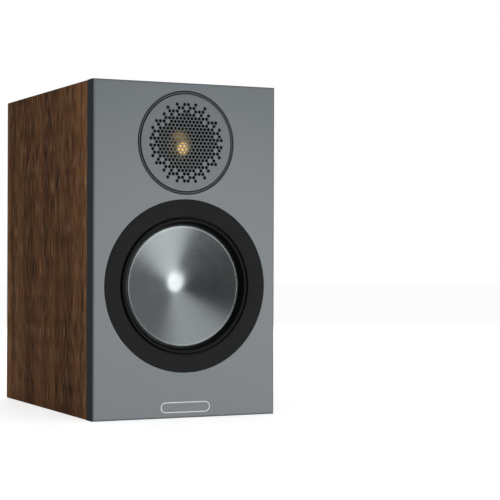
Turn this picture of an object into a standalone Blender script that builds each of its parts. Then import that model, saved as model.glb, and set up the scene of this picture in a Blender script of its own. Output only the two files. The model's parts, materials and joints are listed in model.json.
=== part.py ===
"""Two-way bookshelf loudspeaker, metres, +Z up.

The origin is the middle of the cabinet's underside. The baffle faces -Y and the terminals face +Y.
Every driver, the reflex port and each terminal post hangs on an empty whose local +Z is its own axis,
pointing out of the cabinet, so a turned profile is a list of (radius, height) pairs along that axis.
On the front, a height is minus the depth behind the baffle's face.
"""

import math

import bmesh
import bpy

MM = 0.001
GAP = 0.3 * MM  # between two pieces that touch
TINY = 0.01 * MM  # merging distance

# Segments round a turned piece, by its size
LARGE, MEDIUM, SMALL, SCREW = 32, 20, 16, 8

# Cabinet
CABINET_WIDTH = 160 * MM
CABINET_HEIGHT = 272 * MM
CABINET_DEPTH = 233 * MM  # from the baffle's face to the rear panel's
BAFFLE_THICKNESS = 14.5 * MM
BAFFLE_EDGE_ROUND = 1.5 * MM
PANEL_THICKNESS = 12 * MM
REAR_THICKNESS = 12 * MM
TOP_MARGIN = 6.4 * MM  # from the top edge to the tweeter
DRIVER_SPACING = 4.15 * MM  # from the tweeter's rim to the woofer's

# Badge, a plain bar let into the baffle
BADGE_WIDTH, BADGE_HEIGHT, BADGE_THICKNESS = 44 * MM, 9.4 * MM, 0.8 * MM
BADGE_MARGIN = 4 * MM  # from the lower edge
BADGE_SETBACK = 0.1 * MM

# Magnets behind the baffle, which hold a cloth grille
GRILLE_MAGNET_RADIUS, GRILLE_MAGNET_THICKNESS = 5 * MM, 3 * MM
GRILLE_MAGNET_SKIN = 3.5 * MM  # wood left in front of a magnet
GRILLE_MAGNET_INSET_X, GRILLE_MAGNET_INSET_Z = 20 * MM, 25 * MM

# Woofer: cone and surround
CONE_RADIUS = 49 * MM
CONE_RIM_WIDTH = 1.7 * MM
CONE_THICKNESS = 0.5 * MM
CONE_SETBACK = 4.8 * MM  # of the rim behind the baffle's face
CONE_SLOPE = 0.5  # of the dish's wall, rise over run
CONE_BLUNTNESS = 6 * MM  # how gently the dish turns at its middle
SURROUND_WIDTH = 7.3 * MM  # from the cone's edge to the trim ring
SURROUND_THICKNESS = 0.6 * MM
SURROUND_ROLL_HEIGHT = 3.2 * MM
SURROUND_LAP = 1.3 * MM  # glued behind the cone's rim
SURROUND_LIP = 5 * MM  # glued on the basket

# Woofer: trim ring, basket and gasket
TRIM_WIDTH = 13.7 * MM
TRIM_THICKNESS = 2.4 * MM
TRIM_DISH = 1.2 * MM  # how far the inner edge stands behind the outer one
FLANGE_THICKNESS = 3.3 * MM
FLANGE_MARGIN = 1 * MM  # the trim ring's overhang
BASKET_WALL = 2.2 * MM
BASKET_HOLE_MARGIN = 8 * MM  # from the trim ring's rim to the cut-out
BASKET_SHELF_RADIUS, BASKET_SHELF_DEPTH = 40.5 * MM, 30.3 * MM
BASKET_SHELF_WIDTH = 5.5 * MM
BASKET_FLOOR = 2.2 * MM
BASKET_BORE = 18 * MM
BASKET_WINDOWS = 6
BASKET_WINDOW_WIDTH, BASKET_WINDOW_TOP, BASKET_WINDOW_BOTTOM = 26 * MM, 10 * MM, 28.5 * MM
GASKET_THICKNESS = 1.2 * MM

# Woofer: motor
MOTOR_DEPTH = 38 * MM  # of the top plate behind the baffle's face
TOP_PLATE_RADIUS, TOP_PLATE_THICKNESS = 35 * MM, 5 * MM
MAGNET_RADIUS, MAGNET_BORE, MAGNET_THICKNESS = 40 * MM, 20 * MM, 14 * MM
BACK_PLATE_THICKNESS = 5 * MM
POLE_VENT = 3.5 * MM
FORMER_RADIUS, FORMER_WALL = 12.6 * MM, 0.4 * MM
FORMER_LENGTH = 25.5 * MM
COIL_THICKNESS, COIL_LENGTH = 0.7 * MM, 10 * MM
AIR_GAP = 0.6 * MM  # each side of a voice coil
SPIDER_THICKNESS, SPIDER_WAVE, SPIDER_WAVES = 0.6 * MM, 1.2 * MM, 3
TAG_BLOCK = (14 * MM, 6 * MM, 4.6 * MM)

# Screws: the shank's radius and length, the head's radius and height
WOOFER_SCREW = (1.5 * MM, BAFFLE_THICKNESS - 5 * MM, 2.7 * MM, 1.6 * MM)
TWEETER_SCREW = (1.4 * MM, BAFFLE_THICKNESS - 5.5 * MM, 2.6 * MM, 1.5 * MM)
TERMINAL_SCREW = (1.5 * MM, 10 * MM, 3 * MM, 1.8 * MM)
PILOT_DEPTH = 1 * MM  # left free under a screw's point

# Tweeter: front
TWEETER_RADIUS = 41.9 * MM
GRILLE_RADIUS, GRILLE_THICKNESS = 39.4 * MM, 1.2 * MM
GRILLE_HOLE_RADIUS, GRILLE_HOLE_PITCH = 1.15 * MM, 3.26 * MM
GRILLE_HOLE_RINGS = 3
TWEETER_TRIM_SETBACK, TWEETER_TRIM_THICKNESS = 0.4 * MM, 1.5 * MM
FACEPLATE_FLANGE = 4.2 * MM
FACEPLATE_BODY_RADIUS = 31.4 * MM
FACEPLATE_DEPTH = 12.2 * MM
HORN_MOUTH_RADIUS = 32.5 * MM
HORN_THROAT_DEPTH = 10 * MM
TWEETER_SCREW_CIRCLE = 36.2 * MM

# Tweeter: dome and motor
DOME_RADIUS, DOME_HEIGHT, DOME_THICKNESS = 12.7 * MM, 4.6 * MM, 0.4 * MM
DOME_ROLL_WIDTH, DOME_ROLL_HEIGHT = 3 * MM, 1.2 * MM
DOME_LIP = 2.8 * MM
DOME_SURROUND_THICKNESS = 0.4 * MM
DOME_FORMER_LENGTH = 4.8 * MM
TWEETER_PLATE_RADIUS, TWEETER_PLATE_THICKNESS = 26 * MM, 3 * MM
TWEETER_MAGNET_BORE, TWEETER_MAGNET_THICKNESS = 17 * MM, 8 * MM
TWEETER_MAGNET_RADIUS = 28 * MM
TWEETER_BACK_THICKNESS = 4 * MM
TWEETER_VENT = 3 * MM
REAR_CUP_RADIUS, REAR_CUP_DEPTH, REAR_CUP_WALL = 22 * MM, 15.6 * MM, 2 * MM

# Reflex port
PORT_DROP = 72 * MM  # of its centre below the cabinet's top
PORT_BORE = 21 * MM
PORT_MOUTH = 31 * MM
PORT_FLANGE_RADIUS, PORT_FLANGE_THICKNESS = 38 * MM, 2 * MM
PORT_WALL = 2 * MM
PORT_FLARE_LENGTH = 14 * MM
PORT_LENGTH = 100 * MM

# Terminal plate, posts and crossover
TERMINAL_HEIGHT = 62 * MM  # of its centre above the base
PLATE_WIDTH, PLATE_HEIGHT, PLATE_THICKNESS = 104 * MM, 84 * MM, 2.5 * MM
PLATE_CORNER = 6 * MM
PLATE_RIM = 10 * MM  # that laps over the rear panel's cut-out
PLATE_SCREW_INSET = 5 * MM
POST_SPACING = 19 * MM
STEM_RADIUS = 3 * MM
STEM_LENGTH = 17.4 * MM  # outside the collar
SOCKET_RADIUS, SOCKET_DEPTH = 2.1 * MM, 16 * MM
COLLAR_RADIUS, COLLAR_THICKNESS = 6.5 * MM, 1.5 * MM
TAIL_RADIUS, TAIL_PROUD = 1.2 * MM, 2 * MM
WASHER_RADIUS, WASHER_THICKNESS = 6.3 * MM, 1.5 * MM
NUT_RADIUS, NUT_LENGTH = 7.5 * MM, 16 * MM
NUT_FLUTES, NUT_FLUTE_DEPTH = 12, 0.5 * MM
BOARD_MARGIN = 2 * MM  # inside the rear panel's cut-out
BOARD_THICKNESS = 1.6 * MM
BOARD_STANDOFF = 8 * MM  # of the board inside the rear panel
BOSS_RADIUS, BOSS_INSET = 3 * MM, 4 * MM
# Components on the board: where they stand on it, then their radius and length
BOARD_COILS = {
    "woofer_inductor": ((-23 * MM, 12 * MM), 15 * MM, 18 * MM),
    "tweeter_inductor": ((27 * MM, 15 * MM), 10 * MM, 12 * MM),
}
BOARD_CAPACITORS = {
    "woofer_capacitor": ((-20 * MM, -20 * MM), 7 * MM, 30 * MM),
    "tweeter_capacitor": ((20 * MM, -20 * MM), 6 * MM, 26 * MM),
}
BOBBIN_FLANGE = 1.5 * MM
BOBBIN_BORE = 4 * MM

# Wadding and the leads
WADDING_THICKNESS, WADDING_ROUND = 22 * MM, 8 * MM
WADDING_MARGIN = 5 * MM
WADDING_LENGTH = 140 * MM
LEAD_RADIUS = 1.6 * MM
LEAD_CLEARANCE = 10 * MM  # of a lead's centre from the side panel
LEAD_STUB = 5 * MM  # straight at a lead's end
LEAD_POINTS = 3  # along each stretch of a lead's route

# Derived places: y runs from the baffle's face to the rear panel's
FRONT_Y = -CABINET_DEPTH / 2
REAR_Y = CABINET_DEPTH / 2
HALF_WIDTH = CABINET_WIDTH / 2
TRIM_BORE = CONE_RADIUS + SURROUND_WIDTH
TRIM_RADIUS = TRIM_BORE + TRIM_WIDTH
TWEETER_RECESS = TWEETER_RADIUS + GAP
TWEETER_Z = CABINET_HEIGHT - TOP_MARGIN - TWEETER_RECESS
WOOFER_Z = TWEETER_Z - TWEETER_RECESS - DRIVER_SPACING - TRIM_RADIUS
PORT_Z = CABINET_HEIGHT - PORT_DROP

FINISHES = {
    "baffle": ((0.17, 0.20, 0.21), 0.45, 0.0),
    "walnut": ((0.09, 0.045, 0.025), 0.6, 0.0),
    "badge": ((0.65, 0.66, 0.67), 0.35, 0.8),
    "black_plastic": ((0.015, 0.015, 0.016), 0.5, 0.0),
    "rubber": ((0.012, 0.012, 0.012), 0.7, 0.0),
    "foam": ((0.02, 0.02, 0.02), 0.95, 0.0),
    "cone_metal": ((0.42, 0.44, 0.45), 0.3, 1.0),
    "cast_metal": ((0.08, 0.08, 0.085), 0.5, 0.6),
    "steel": ((0.45, 0.45, 0.46), 0.35, 1.0),
    "ferrite": ((0.03, 0.03, 0.032), 0.6, 0.0),
    "copper": ((0.6, 0.26, 0.12), 0.35, 1.0),
    "former": ((0.5, 0.35, 0.15), 0.5, 0.0),
    "spider": ((0.45, 0.3, 0.1), 0.9, 0.0),
    "grille": ((0.17, 0.20, 0.21), 0.4, 0.6),
    "gold_dome": ((0.85, 0.58, 0.22), 0.25, 1.0),
    "gold_plate": ((0.83, 0.62, 0.3), 0.25, 1.0),
    "nut_red": ((0.5, 0.02, 0.02), 0.35, 0.0),
    "nut_black": ((0.015, 0.015, 0.015), 0.35, 0.0),
    "board": ((0.03, 0.12, 0.05), 0.5, 0.0),
    "capacitor": ((0.1, 0.12, 0.3), 0.4, 0.0),
    "wadding": ((0.75, 0.74, 0.7), 0.95, 0.0),
    "lead": ((0.03, 0.03, 0.03), 0.5, 0.0),
}


def clear_scene():
    """Removes every object and leaves two fresh collections, for the parts and for their cutters."""
    for obj in list(bpy.data.objects):
        bpy.data.objects.remove(obj, do_unlink=True)
    parts = bpy.data.collections.new("bookshelf_speaker")
    cutters = bpy.data.collections.new("cutters")
    for collection in (parts, cutters):
        bpy.context.scene.collection.children.link(collection)
    return parts, cutters


def make_finishes():
    """One Principled material for each finish."""
    materials = {}
    for name, (colour, roughness, metallic) in FINISHES.items():
        material = bpy.data.materials.new(name)
        material.use_nodes = True
        shader = material.node_tree.nodes["Principled BSDF"]
        shader.inputs["Base Color"].default_value = (*colour, 1)
        shader.inputs["Roughness"].default_value = roughness
        shader.inputs["Metallic"].default_value = metallic
        materials[name] = material
    return materials


PARTS, CUTTERS = clear_scene()
MATERIALS = make_finishes()


def add(name, data, finish, parent, collection=None):
    """A new object on its parent's axis. With no finish it is a cutter."""
    obj = bpy.data.objects.new(name, data)
    obj.parent = parent
    if finish:
        data.materials.append(MATERIALS[finish])
        (collection or PARTS).objects.link(obj)
    else:
        obj.hide_render = True
        obj.display_type = "WIRE"
        CUTTERS.objects.link(obj)
    return obj


def axis(name, x, y, z, outward=-1):
    """An empty whose +Z points along -Y, or along +Y where outward is 1. Its X is the world's."""
    empty = bpy.data.objects.new(name, None)
    empty.location = (x, y, z)
    empty.rotation_euler = (-outward * math.pi / 2, 0, 0)
    PARTS.objects.link(empty)
    return empty


def mesh_from(name, bm):
    """The finished mesh of bm, which it frees."""
    mesh = bpy.data.meshes.new(name)
    bm.to_mesh(mesh)
    bm.free()
    return mesh


def turned(name, profile, finish, parent, segments):
    """A profile of (radius, height) points turned about the parent's axis.

    It runs outwards on the upper side and down the outer side. One that starts and ends on the axis
    stays open there, and any other closes on itself.
    """
    mesh = bpy.data.meshes.new(name)
    last = len(profile) - 1
    edges = [(i, i + 1) for i in range(last)]
    if profile[0][0] > 0:
        edges.append((last, 0))
    mesh.from_pydata([(radius, 0, height) for radius, height in profile], edges, [])
    obj = add(name, mesh, finish, parent)
    screw = obj.modifiers.new("turn", "SCREW")
    screw.axis = "Z"
    screw.steps = segments
    screw.render_steps = segments
    screw.use_merge_vertices = True
    screw.merge_threshold = TINY
    screw.use_smooth_shade = True
    return obj


def ring(name, bore, radius, top, bottom, finish, parent, segments):
    """A plain ring of rectangular section."""
    profile = [(bore, top), (radius, top), (radius, bottom), (bore, bottom)]
    return turned(name, profile, finish, parent, segments)


def cylinder(name, radius, top, bottom, finish, parent, segments, x=0.0, y=0.0):
    """A solid cylinder along the parent's axis, with its middle at (x, y)."""
    bm = bmesh.new()
    bmesh.ops.create_cone(
        bm, cap_ends=True, segments=segments, radius1=radius, radius2=radius, depth=top - bottom
    )
    obj = add(name, mesh_from(name, bm), finish, parent)
    obj.location = (x, y, (top + bottom) / 2)
    return obj


def box(name, size, centre, finish, parent=None):
    """A block, with its size in its mesh."""
    bm = bmesh.new()
    bmesh.ops.create_cube(bm, size=1)
    bmesh.ops.scale(bm, vec=size, verts=bm.verts)
    obj = add(name, mesh_from(name, bm), finish, parent)
    obj.location = centre
    return obj


def outline(name, loops, thickness, middle, finish, parent):
    """A flat piece from closed loops of (x, y) points, the first outside and the others holes."""
    curve = bpy.data.curves.new(name, "CURVE")
    curve.dimensions = "2D"
    curve.fill_mode = "BOTH"
    curve.extrude = thickness / 2
    for loop in loops:
        spline = curve.splines.new("POLY")
        spline.points.add(len(loop) - 1)
        for point, (x, y) in zip(spline.points, loop):
            point.co = (x, y, 0, 1)
        spline.use_cyclic_u = True
    obj = add(name, curve, finish, parent)
    obj.location = (0, 0, middle)
    return obj


def as_mesh(obj):
    """The same piece as a mesh with welded caps, which a Boolean can cut or join."""
    name, parent, place = obj.name, obj.parent, obj.location.copy()
    bpy.context.view_layer.update()
    graph = bpy.context.evaluated_depsgraph_get()
    mesh = bpy.data.meshes.new_from_object(obj.evaluated_get(graph))
    bm = bmesh.new()
    bm.from_mesh(mesh)
    bmesh.ops.remove_doubles(bm, verts=bm.verts, dist=TINY)
    bm.to_mesh(mesh)
    bm.free()
    curve = obj.data
    bpy.data.objects.remove(obj, do_unlink=True)
    bpy.data.curves.remove(curve)
    solid = bpy.data.objects.new(name, mesh)
    solid.parent = parent
    solid.location = place
    PARTS.objects.link(solid)
    return solid


def combine(piece, other, operation="DIFFERENCE"):
    """Cuts the other object from this piece, or joins it on."""
    modifier = piece.modifiers.new(other.name, "BOOLEAN")
    modifier.operation = operation
    modifier.object = other


def circle(radius, count, x=0.0, y=0.0):
    """Points evenly round a circle."""
    turns = [2 * math.pi * i / count for i in range(count)]
    return [(x + radius * math.cos(turn), y + radius * math.sin(turn)) for turn in turns]


def rounded_rectangle(width, height, corner, steps=3):
    """Points round a rectangle whose corners are arcs."""
    points = []
    for index, (sx, sy) in enumerate([(1, 1), (-1, 1), (-1, -1), (1, -1)]):
        cx, cy = sx * (width / 2 - corner), sy * (height / 2 - corner)
        for step in range(steps + 1):
            turn = (index + step / steps) * math.pi / 2
            points.append((cx + corner * math.cos(turn), cy + corner * math.sin(turn)))
    return points


def ribbon(midline, thickness):
    """The closed profile of a sheet of even thickness about a midline that runs outwards."""
    upper, lower = [], []
    for i, (radius, height) in enumerate(midline):
        before, after = midline[max(i - 1, 0)], midline[min(i + 1, len(midline) - 1)]
        run, rise = after[0] - before[0], after[1] - before[1]
        if radius == 0:
            rise = 0
        length = math.hypot(run, rise)
        across = (-rise / length * thickness / 2, run / length * thickness / 2)
        upper.append((radius + across[0], height + across[1]))
        lower.append((radius - across[0], height - across[1]))
    return upper + lower[::-1]


def screw(name, sizes, head_top, parent, x, y):
    """A wood screw on its own axis, with its head's top at the given height."""
    shank, length, head, head_height = sizes
    neck = head_top - head_height
    profile = [(0, head_top), (head, head_top), (head, neck), (shank, neck)]
    profile += [(shank, neck - length), (0, neck - length)]
    obj = turned(name, profile, "steel", parent, SCREW)
    obj.location = (x, y, 0)
    return obj


def screw_hole(piece, name, sizes, top, bottom, parent, x, y):
    """Drills a clearance hole for a screw's shank."""
    radius = sizes[0] + GAP
    combine(piece, cylinder(name, radius, top, bottom, None, parent, SCREW, x, y))


def screw_recess(piece, name, sizes, top, bottom, parent, x, y):
    """Sinks a round recess for a screw's head."""
    radius = sizes[2] + GAP
    combine(piece, cylinder(name, radius, top, bottom, None, parent, SCREW, x, y))


def bevel_edges(obj, width, segments, chosen):
    """Rounds the edges whose two ends both satisfy chosen, a test of a point."""
    bm = bmesh.new()
    bm.from_mesh(obj.data)
    edges = [edge for edge in bm.edges if all(chosen(vertex.co) for vertex in edge.verts)]
    bmesh.ops.bevel(
        bm, geom=edges, offset=width, segments=segments, affect="EDGES", profile=0.5
    )
    bm.to_mesh(obj.data)
    bm.free()


# ------------------------------------------------------------------ woofer

# Depths behind the baffle's face, worked down from the trim ring to the rebate's floor
LIP_DEPTH = TRIM_THICKNESS + GAP
SEAT_DEPTH = LIP_DEPTH + SURROUND_THICKNESS + GAP
FLANGE_TOP = TRIM_THICKNESS + GAP
FLANGE_BACK = FLANGE_TOP + FLANGE_THICKNESS
WOOFER_REBATE = FLANGE_BACK + GAP + GASKET_THICKNESS + GAP
WOOFER_HOLE = TRIM_RADIUS - BASKET_HOLE_MARGIN
FLANGE_RADIUS = TRIM_RADIUS - FLANGE_MARGIN
WOOFER_SCREW_CIRCLE = (FLANGE_RADIUS + WOOFER_HOLE) / 2
SCREW_HEAD_DEPTH = FLANGE_TOP + GAP  # tops of the heads, under the trim ring
WOOFER_SCREW_SPOTS = circle(WOOFER_SCREW_CIRCLE, 4)
DISH_RADIUS = CONE_RADIUS - CONE_RIM_WIDTH


def dish_depth(radius):
    """How deep the cone's dish is at a radius: a hyperbola, blunt at the middle and straight outside."""
    edge = math.hypot(CONE_BLUNTNESS, CONE_SLOPE * DISH_RADIUS)
    return CONE_SETBACK + edge - math.hypot(CONE_BLUNTNESS, CONE_SLOPE * radius)


def make_cone(parent):
    """The one-piece metal cone, with a narrow flat rim."""
    middle = CONE_THICKNESS / 2
    shares = (0, 0.08, 0.18, 0.32, 0.52, 0.76, 1)
    midline = [(s * DISH_RADIUS, -dish_depth(s * DISH_RADIUS) - middle) for s in shares]
    midline.append((CONE_RADIUS, -CONE_SETBACK - middle))
    turned("woofer_cone", ribbon(midline, CONE_THICKNESS), "cone_metal", parent, LARGE)


def make_surround(parent):
    """The rubber half roll between the cone's rim and the basket."""
    middle = SURROUND_THICKNESS / 2
    lap = -(CONE_SETBACK + CONE_THICKNESS + GAP + middle)
    lip = -(LIP_DEPTH + middle)
    inner = CONE_RADIUS + SURROUND_THICKNESS + GAP
    outer = TRIM_BORE - GAP - SURROUND_THICKNESS
    midline = [(CONE_RADIUS - SURROUND_LAP, lap)]
    steps = 5
    for step in range(steps + 1):
        turn = math.pi * step / steps
        share = (1 - math.cos(turn)) / 2
        height = lap + (lip - lap) * share + SURROUND_ROLL_HEIGHT * math.sin(turn)
        midline.append((inner + (outer - inner) * share, height))
    midline.append((TRIM_BORE + SURROUND_LIP, lip))
    turned("woofer_surround", ribbon(midline, SURROUND_THICKNESS), "rubber", parent, LARGE)


def make_trim_ring(parent):
    """The gently dished ring that covers the flange and its screws."""
    edge = GAP  # a fine round on each visible edge
    profile = [
        (TRIM_BORE + edge, -TRIM_DISH),
        (TRIM_RADIUS - edge, 0),
        (TRIM_RADIUS, -edge),
        (TRIM_RADIUS, -TRIM_THICKNESS),
        (TRIM_BORE, -TRIM_THICKNESS),
        (TRIM_BORE, -TRIM_DISH - edge),
    ]
    turned("woofer_trim_ring", profile, "black_plastic", parent, LARGE)


def make_basket(parent):
    """The cast basket: a flange with a seat for the surround, six legs, a shelf and a floor."""
    wall_top = WOOFER_HOLE - 2 * GAP
    seat_edge = TRIM_BORE + SURROUND_LIP + GAP
    floor = -(MOTOR_DEPTH - GAP)
    shelf_inner = BASKET_SHELF_RADIUS - BASKET_SHELF_WIDTH
    tub = BASKET_SHELF_RADIUS + BASKET_WALL - GAP
    profile = [
        (seat_edge, -FLANGE_TOP),
        (FLANGE_RADIUS, -FLANGE_TOP),
        (FLANGE_RADIUS, -FLANGE_BACK),
        (wall_top, -FLANGE_BACK),
        (wall_top, -FLANGE_BACK - BASKET_WALL),
        (tub, -BASKET_SHELF_DEPTH - GAP),
        (tub, floor),
        (BASKET_BORE, floor),
        (BASKET_BORE, floor + BASKET_FLOOR),
        (shelf_inner, floor + BASKET_FLOOR),
        (shelf_inner, -BASKET_SHELF_DEPTH),
        (BASKET_SHELF_RADIUS, -BASKET_SHELF_DEPTH),
        (wall_top - BASKET_WALL, -FLANGE_BACK - BASKET_WALL),
        (TRIM_BORE, -FLANGE_BACK),
        (TRIM_BORE, -SEAT_DEPTH),
        (seat_edge, -SEAT_DEPTH),
    ]
    basket = turned("woofer_basket", profile, "cast_metal", parent, LARGE)
    height = BASKET_WINDOW_BOTTOM - BASKET_WINDOW_TOP
    middle = -(BASKET_WINDOW_BOTTOM + BASKET_WINDOW_TOP) / 2
    for index in range(BASKET_WINDOWS // 2):
        size = (2 * TRIM_RADIUS, BASKET_WINDOW_WIDTH, height)
        window = box(f"basket_window_{index}", size, (0, 0, middle), None, parent)
        window.rotation_euler = (0, 0, (index + 0.5) * 2 * math.pi / BASKET_WINDOWS)
        combine(basket, window)
    for index, (x, y) in enumerate(WOOFER_SCREW_SPOTS):
        seat = -(SCREW_HEAD_DEPTH + WOOFER_SCREW[3] + GAP)
        screw_recess(basket, f"basket_recess_{index}", WOOFER_SCREW, GAP, seat, parent, x, y)
        screw_hole(basket, f"basket_hole_{index}", WOOFER_SCREW, GAP, -WOOFER_REBATE, parent, x, y)


def make_gasket(parent):
    """The foam gasket between the flange and the baffle."""
    top = -(FLANGE_BACK + GAP)
    bottom = top - GASKET_THICKNESS
    bore = WOOFER_HOLE + GAP
    gasket = ring("woofer_gasket", bore, FLANGE_RADIUS, top, bottom, "foam", parent, LARGE)
    for index, (x, y) in enumerate(WOOFER_SCREW_SPOTS):
        name = f"gasket_hole_{index}"
        screw_hole(gasket, name, WOOFER_SCREW, top + GAP, bottom - GAP, parent, x, y)


def make_woofer_motor(parent):
    """Voice coil, spider, plates and magnet."""
    coil_bore = FORMER_RADIUS + GAP
    coil_radius = coil_bore + COIL_THICKNESS
    former_top = -(dish_depth(FORMER_RADIUS) + CONE_THICKNESS + 2 * GAP)
    former_bottom = former_top - FORMER_LENGTH
    former_bore = FORMER_RADIUS - FORMER_WALL
    ring("woofer_former", former_bore, FORMER_RADIUS, former_top, former_bottom, "former", parent, SMALL)
    coil_middle = -(MOTOR_DEPTH + TOP_PLATE_THICKNESS / 2)
    coil_top, coil_bottom = coil_middle + COIL_LENGTH / 2, coil_middle - COIL_LENGTH / 2
    ring("woofer_coil", coil_bore, coil_radius, coil_top, coil_bottom, "copper", parent, SMALL)

    plate_top = -MOTOR_DEPTH
    plate_bottom = plate_top - TOP_PLATE_THICKNESS
    plate_bore = coil_radius + AIR_GAP
    ring("woofer_top_plate", plate_bore, TOP_PLATE_RADIUS, plate_top, plate_bottom, "steel", parent, MEDIUM)
    magnet_top = plate_bottom - GAP
    magnet_bottom = magnet_top - MAGNET_THICKNESS
    ring("woofer_magnet", MAGNET_BORE, MAGNET_RADIUS, magnet_top, magnet_bottom, "ferrite", parent, MEDIUM)
    back_top = magnet_bottom - GAP
    back_bottom = back_top - BACK_PLATE_THICKNESS
    pole = former_bore - AIR_GAP
    profile = [(POLE_VENT, plate_top), (pole, plate_top), (pole, back_top)]
    profile += [(TOP_PLATE_RADIUS, back_top), (TOP_PLATE_RADIUS, back_bottom), (POLE_VENT, back_bottom)]
    turned("woofer_back_plate", profile, "steel", parent, MEDIUM)


def make_spider(parent):
    """The corrugated cloth disc that centres the voice coil."""
    inner = FORMER_RADIUS + GAP
    outer = BASKET_SHELF_RADIUS - 2 * GAP
    shelf = BASKET_SHELF_RADIUS - BASKET_SHELF_WIDTH
    level = -(BASKET_SHELF_DEPTH - GAP - SPIDER_THICKNESS / 2)
    midline = [(inner, level)]
    crests = 2 * SPIDER_WAVES
    for crest in range(crests):
        share = (crest + 0.5) / crests
        wave = SPIDER_WAVE if crest % 2 == 0 else -SPIDER_WAVE
        midline.append((inner + (shelf - inner) * share, level + wave))
    midline += [(shelf, level), (outer, level)]
    turned("woofer_spider", ribbon(midline, SPIDER_THICKNESS), "spider", parent, MEDIUM)


def make_woofer():
    """Every piece of the bass driver, on its own axis."""
    woofer = axis("woofer_axis", 0, FRONT_Y, WOOFER_Z)
    make_trim_ring(woofer)
    make_basket(woofer)
    make_gasket(woofer)
    make_surround(woofer)
    make_cone(woofer)
    make_woofer_motor(woofer)
    make_spider(woofer)
    for index, (x, y) in enumerate(WOOFER_SCREW_SPOTS):
        screw(f"woofer_screw_{index + 1}", WOOFER_SCREW, -SCREW_HEAD_DEPTH, woofer, x, y)
    tub = BASKET_SHELF_RADIUS + BASKET_WALL
    depth = MOTOR_DEPTH - TAG_BLOCK[2] / 2 - GAP
    place = (0, tub + TAG_BLOCK[1] / 2, -depth)
    box("woofer_tag_block", TAG_BLOCK, place, "black_plastic", woofer)
    return woofer


# ----------------------------------------------------------------- tweeter

PLATE_SEAT = GRILLE_THICKNESS + GAP
TWEETER_TRIM_SEAT = TWEETER_TRIM_SETBACK + TWEETER_TRIM_THICKNESS + GAP
FACEPLATE_FLANGE_BACK = PLATE_SEAT + FACEPLATE_FLANGE
TWEETER_REBATE = FACEPLATE_FLANGE_BACK + GAP
TWEETER_HOLE = FACEPLATE_BODY_RADIUS + GAP
THROAT_RADIUS = DOME_RADIUS + DOME_ROLL_WIDTH + 2 * GAP
DOME_LIP_RADIUS = DOME_RADIUS + GAP + DOME_ROLL_WIDTH + DOME_LIP
DOME_BASE_DEPTH = FACEPLATE_DEPTH - 3 * GAP
TWEETER_SCREW_SPOTS = circle(TWEETER_SCREW_CIRCLE, 3)


def make_tweeter_grille(parent):
    """The flat front plate. Its finest holes stop at a few rings of a hexagonal lattice."""
    loops = [circle(GRILLE_RADIUS, LARGE)]
    row_pitch = GRILLE_HOLE_PITCH * math.sqrt(3) / 2
    for row in range(-GRILLE_HOLE_RINGS, GRILLE_HOLE_RINGS + 1):
        count = 2 * GRILLE_HOLE_RINGS + 1 - abs(row)
        for index in range(count):
            x = (index - (count - 1) / 2) * GRILLE_HOLE_PITCH
            loops.append(circle(GRILLE_HOLE_RADIUS, 6, x, row * row_pitch))
    middle = -GRILLE_THICKNESS / 2
    outline("tweeter_grille", loops, GRILLE_THICKNESS, middle, "grille", parent)


def make_tweeter_trim(parent):
    """The slim ring in the groove round the grille plate."""
    top = -TWEETER_TRIM_SETBACK
    bottom = top - TWEETER_TRIM_THICKNESS
    bore = GRILLE_RADIUS + GAP
    ring("tweeter_trim_ring", bore, TWEETER_RADIUS, top, bottom, "black_plastic", parent, LARGE)


def make_faceplate(parent):
    """The moulded faceplate, with a short horn in front of the dome."""
    lip_recess = DOME_LIP_RADIUS + GAP
    recess_depth = FACEPLATE_DEPTH - 4 * GAP
    profile = [
        (GRILLE_RADIUS, -PLATE_SEAT),
        (GRILLE_RADIUS, -TWEETER_TRIM_SEAT),
        (TWEETER_RADIUS, -TWEETER_TRIM_SEAT),
        (TWEETER_RADIUS, -FACEPLATE_FLANGE_BACK),
        (FACEPLATE_BODY_RADIUS, -FACEPLATE_FLANGE_BACK),
        (FACEPLATE_BODY_RADIUS, -FACEPLATE_DEPTH),
        (lip_recess, -FACEPLATE_DEPTH),
        (lip_recess, -recess_depth),
        (THROAT_RADIUS, -recess_depth),
    ]
    steps = 4
    for step in range(steps + 1):
        turn = step / steps * math.pi / 2
        radius = THROAT_RADIUS + (HORN_MOUTH_RADIUS - THROAT_RADIUS) * (1 - math.cos(turn))
        depth = HORN_THROAT_DEPTH + (PLATE_SEAT - HORN_THROAT_DEPTH) * math.sin(turn)
        profile.append((radius, -depth))
    plate = turned("tweeter_faceplate", profile, "black_plastic", parent, LARGE)
    for index, (x, y) in enumerate(TWEETER_SCREW_SPOTS):
        seat = -(PLATE_SEAT + 2 * GAP + TWEETER_SCREW[3])
        screw_recess(plate, f"faceplate_recess_{index}", TWEETER_SCREW, GAP, seat, parent, x, y)
        bottom = -TWEETER_REBATE
        screw_hole(plate, f"faceplate_hole_{index}", TWEETER_SCREW, GAP, bottom, parent, x, y)


def make_dome(parent):
    """The metal dome: a spherical cap."""
    sphere = (DOME_RADIUS**2 + DOME_HEIGHT**2) / (2 * DOME_HEIGHT)
    widest = math.asin(DOME_RADIUS / sphere)
    base = -DOME_BASE_DEPTH
    steps = 4
    midline = []
    for step in range(steps + 1):
        turn = widest * step / steps
        rise = DOME_HEIGHT - sphere * (1 - math.cos(turn))
        midline.append((sphere * math.sin(turn), base + rise))
    turned("tweeter_dome", ribbon(midline, DOME_THICKNESS), "gold_dome", parent, MEDIUM)


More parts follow.
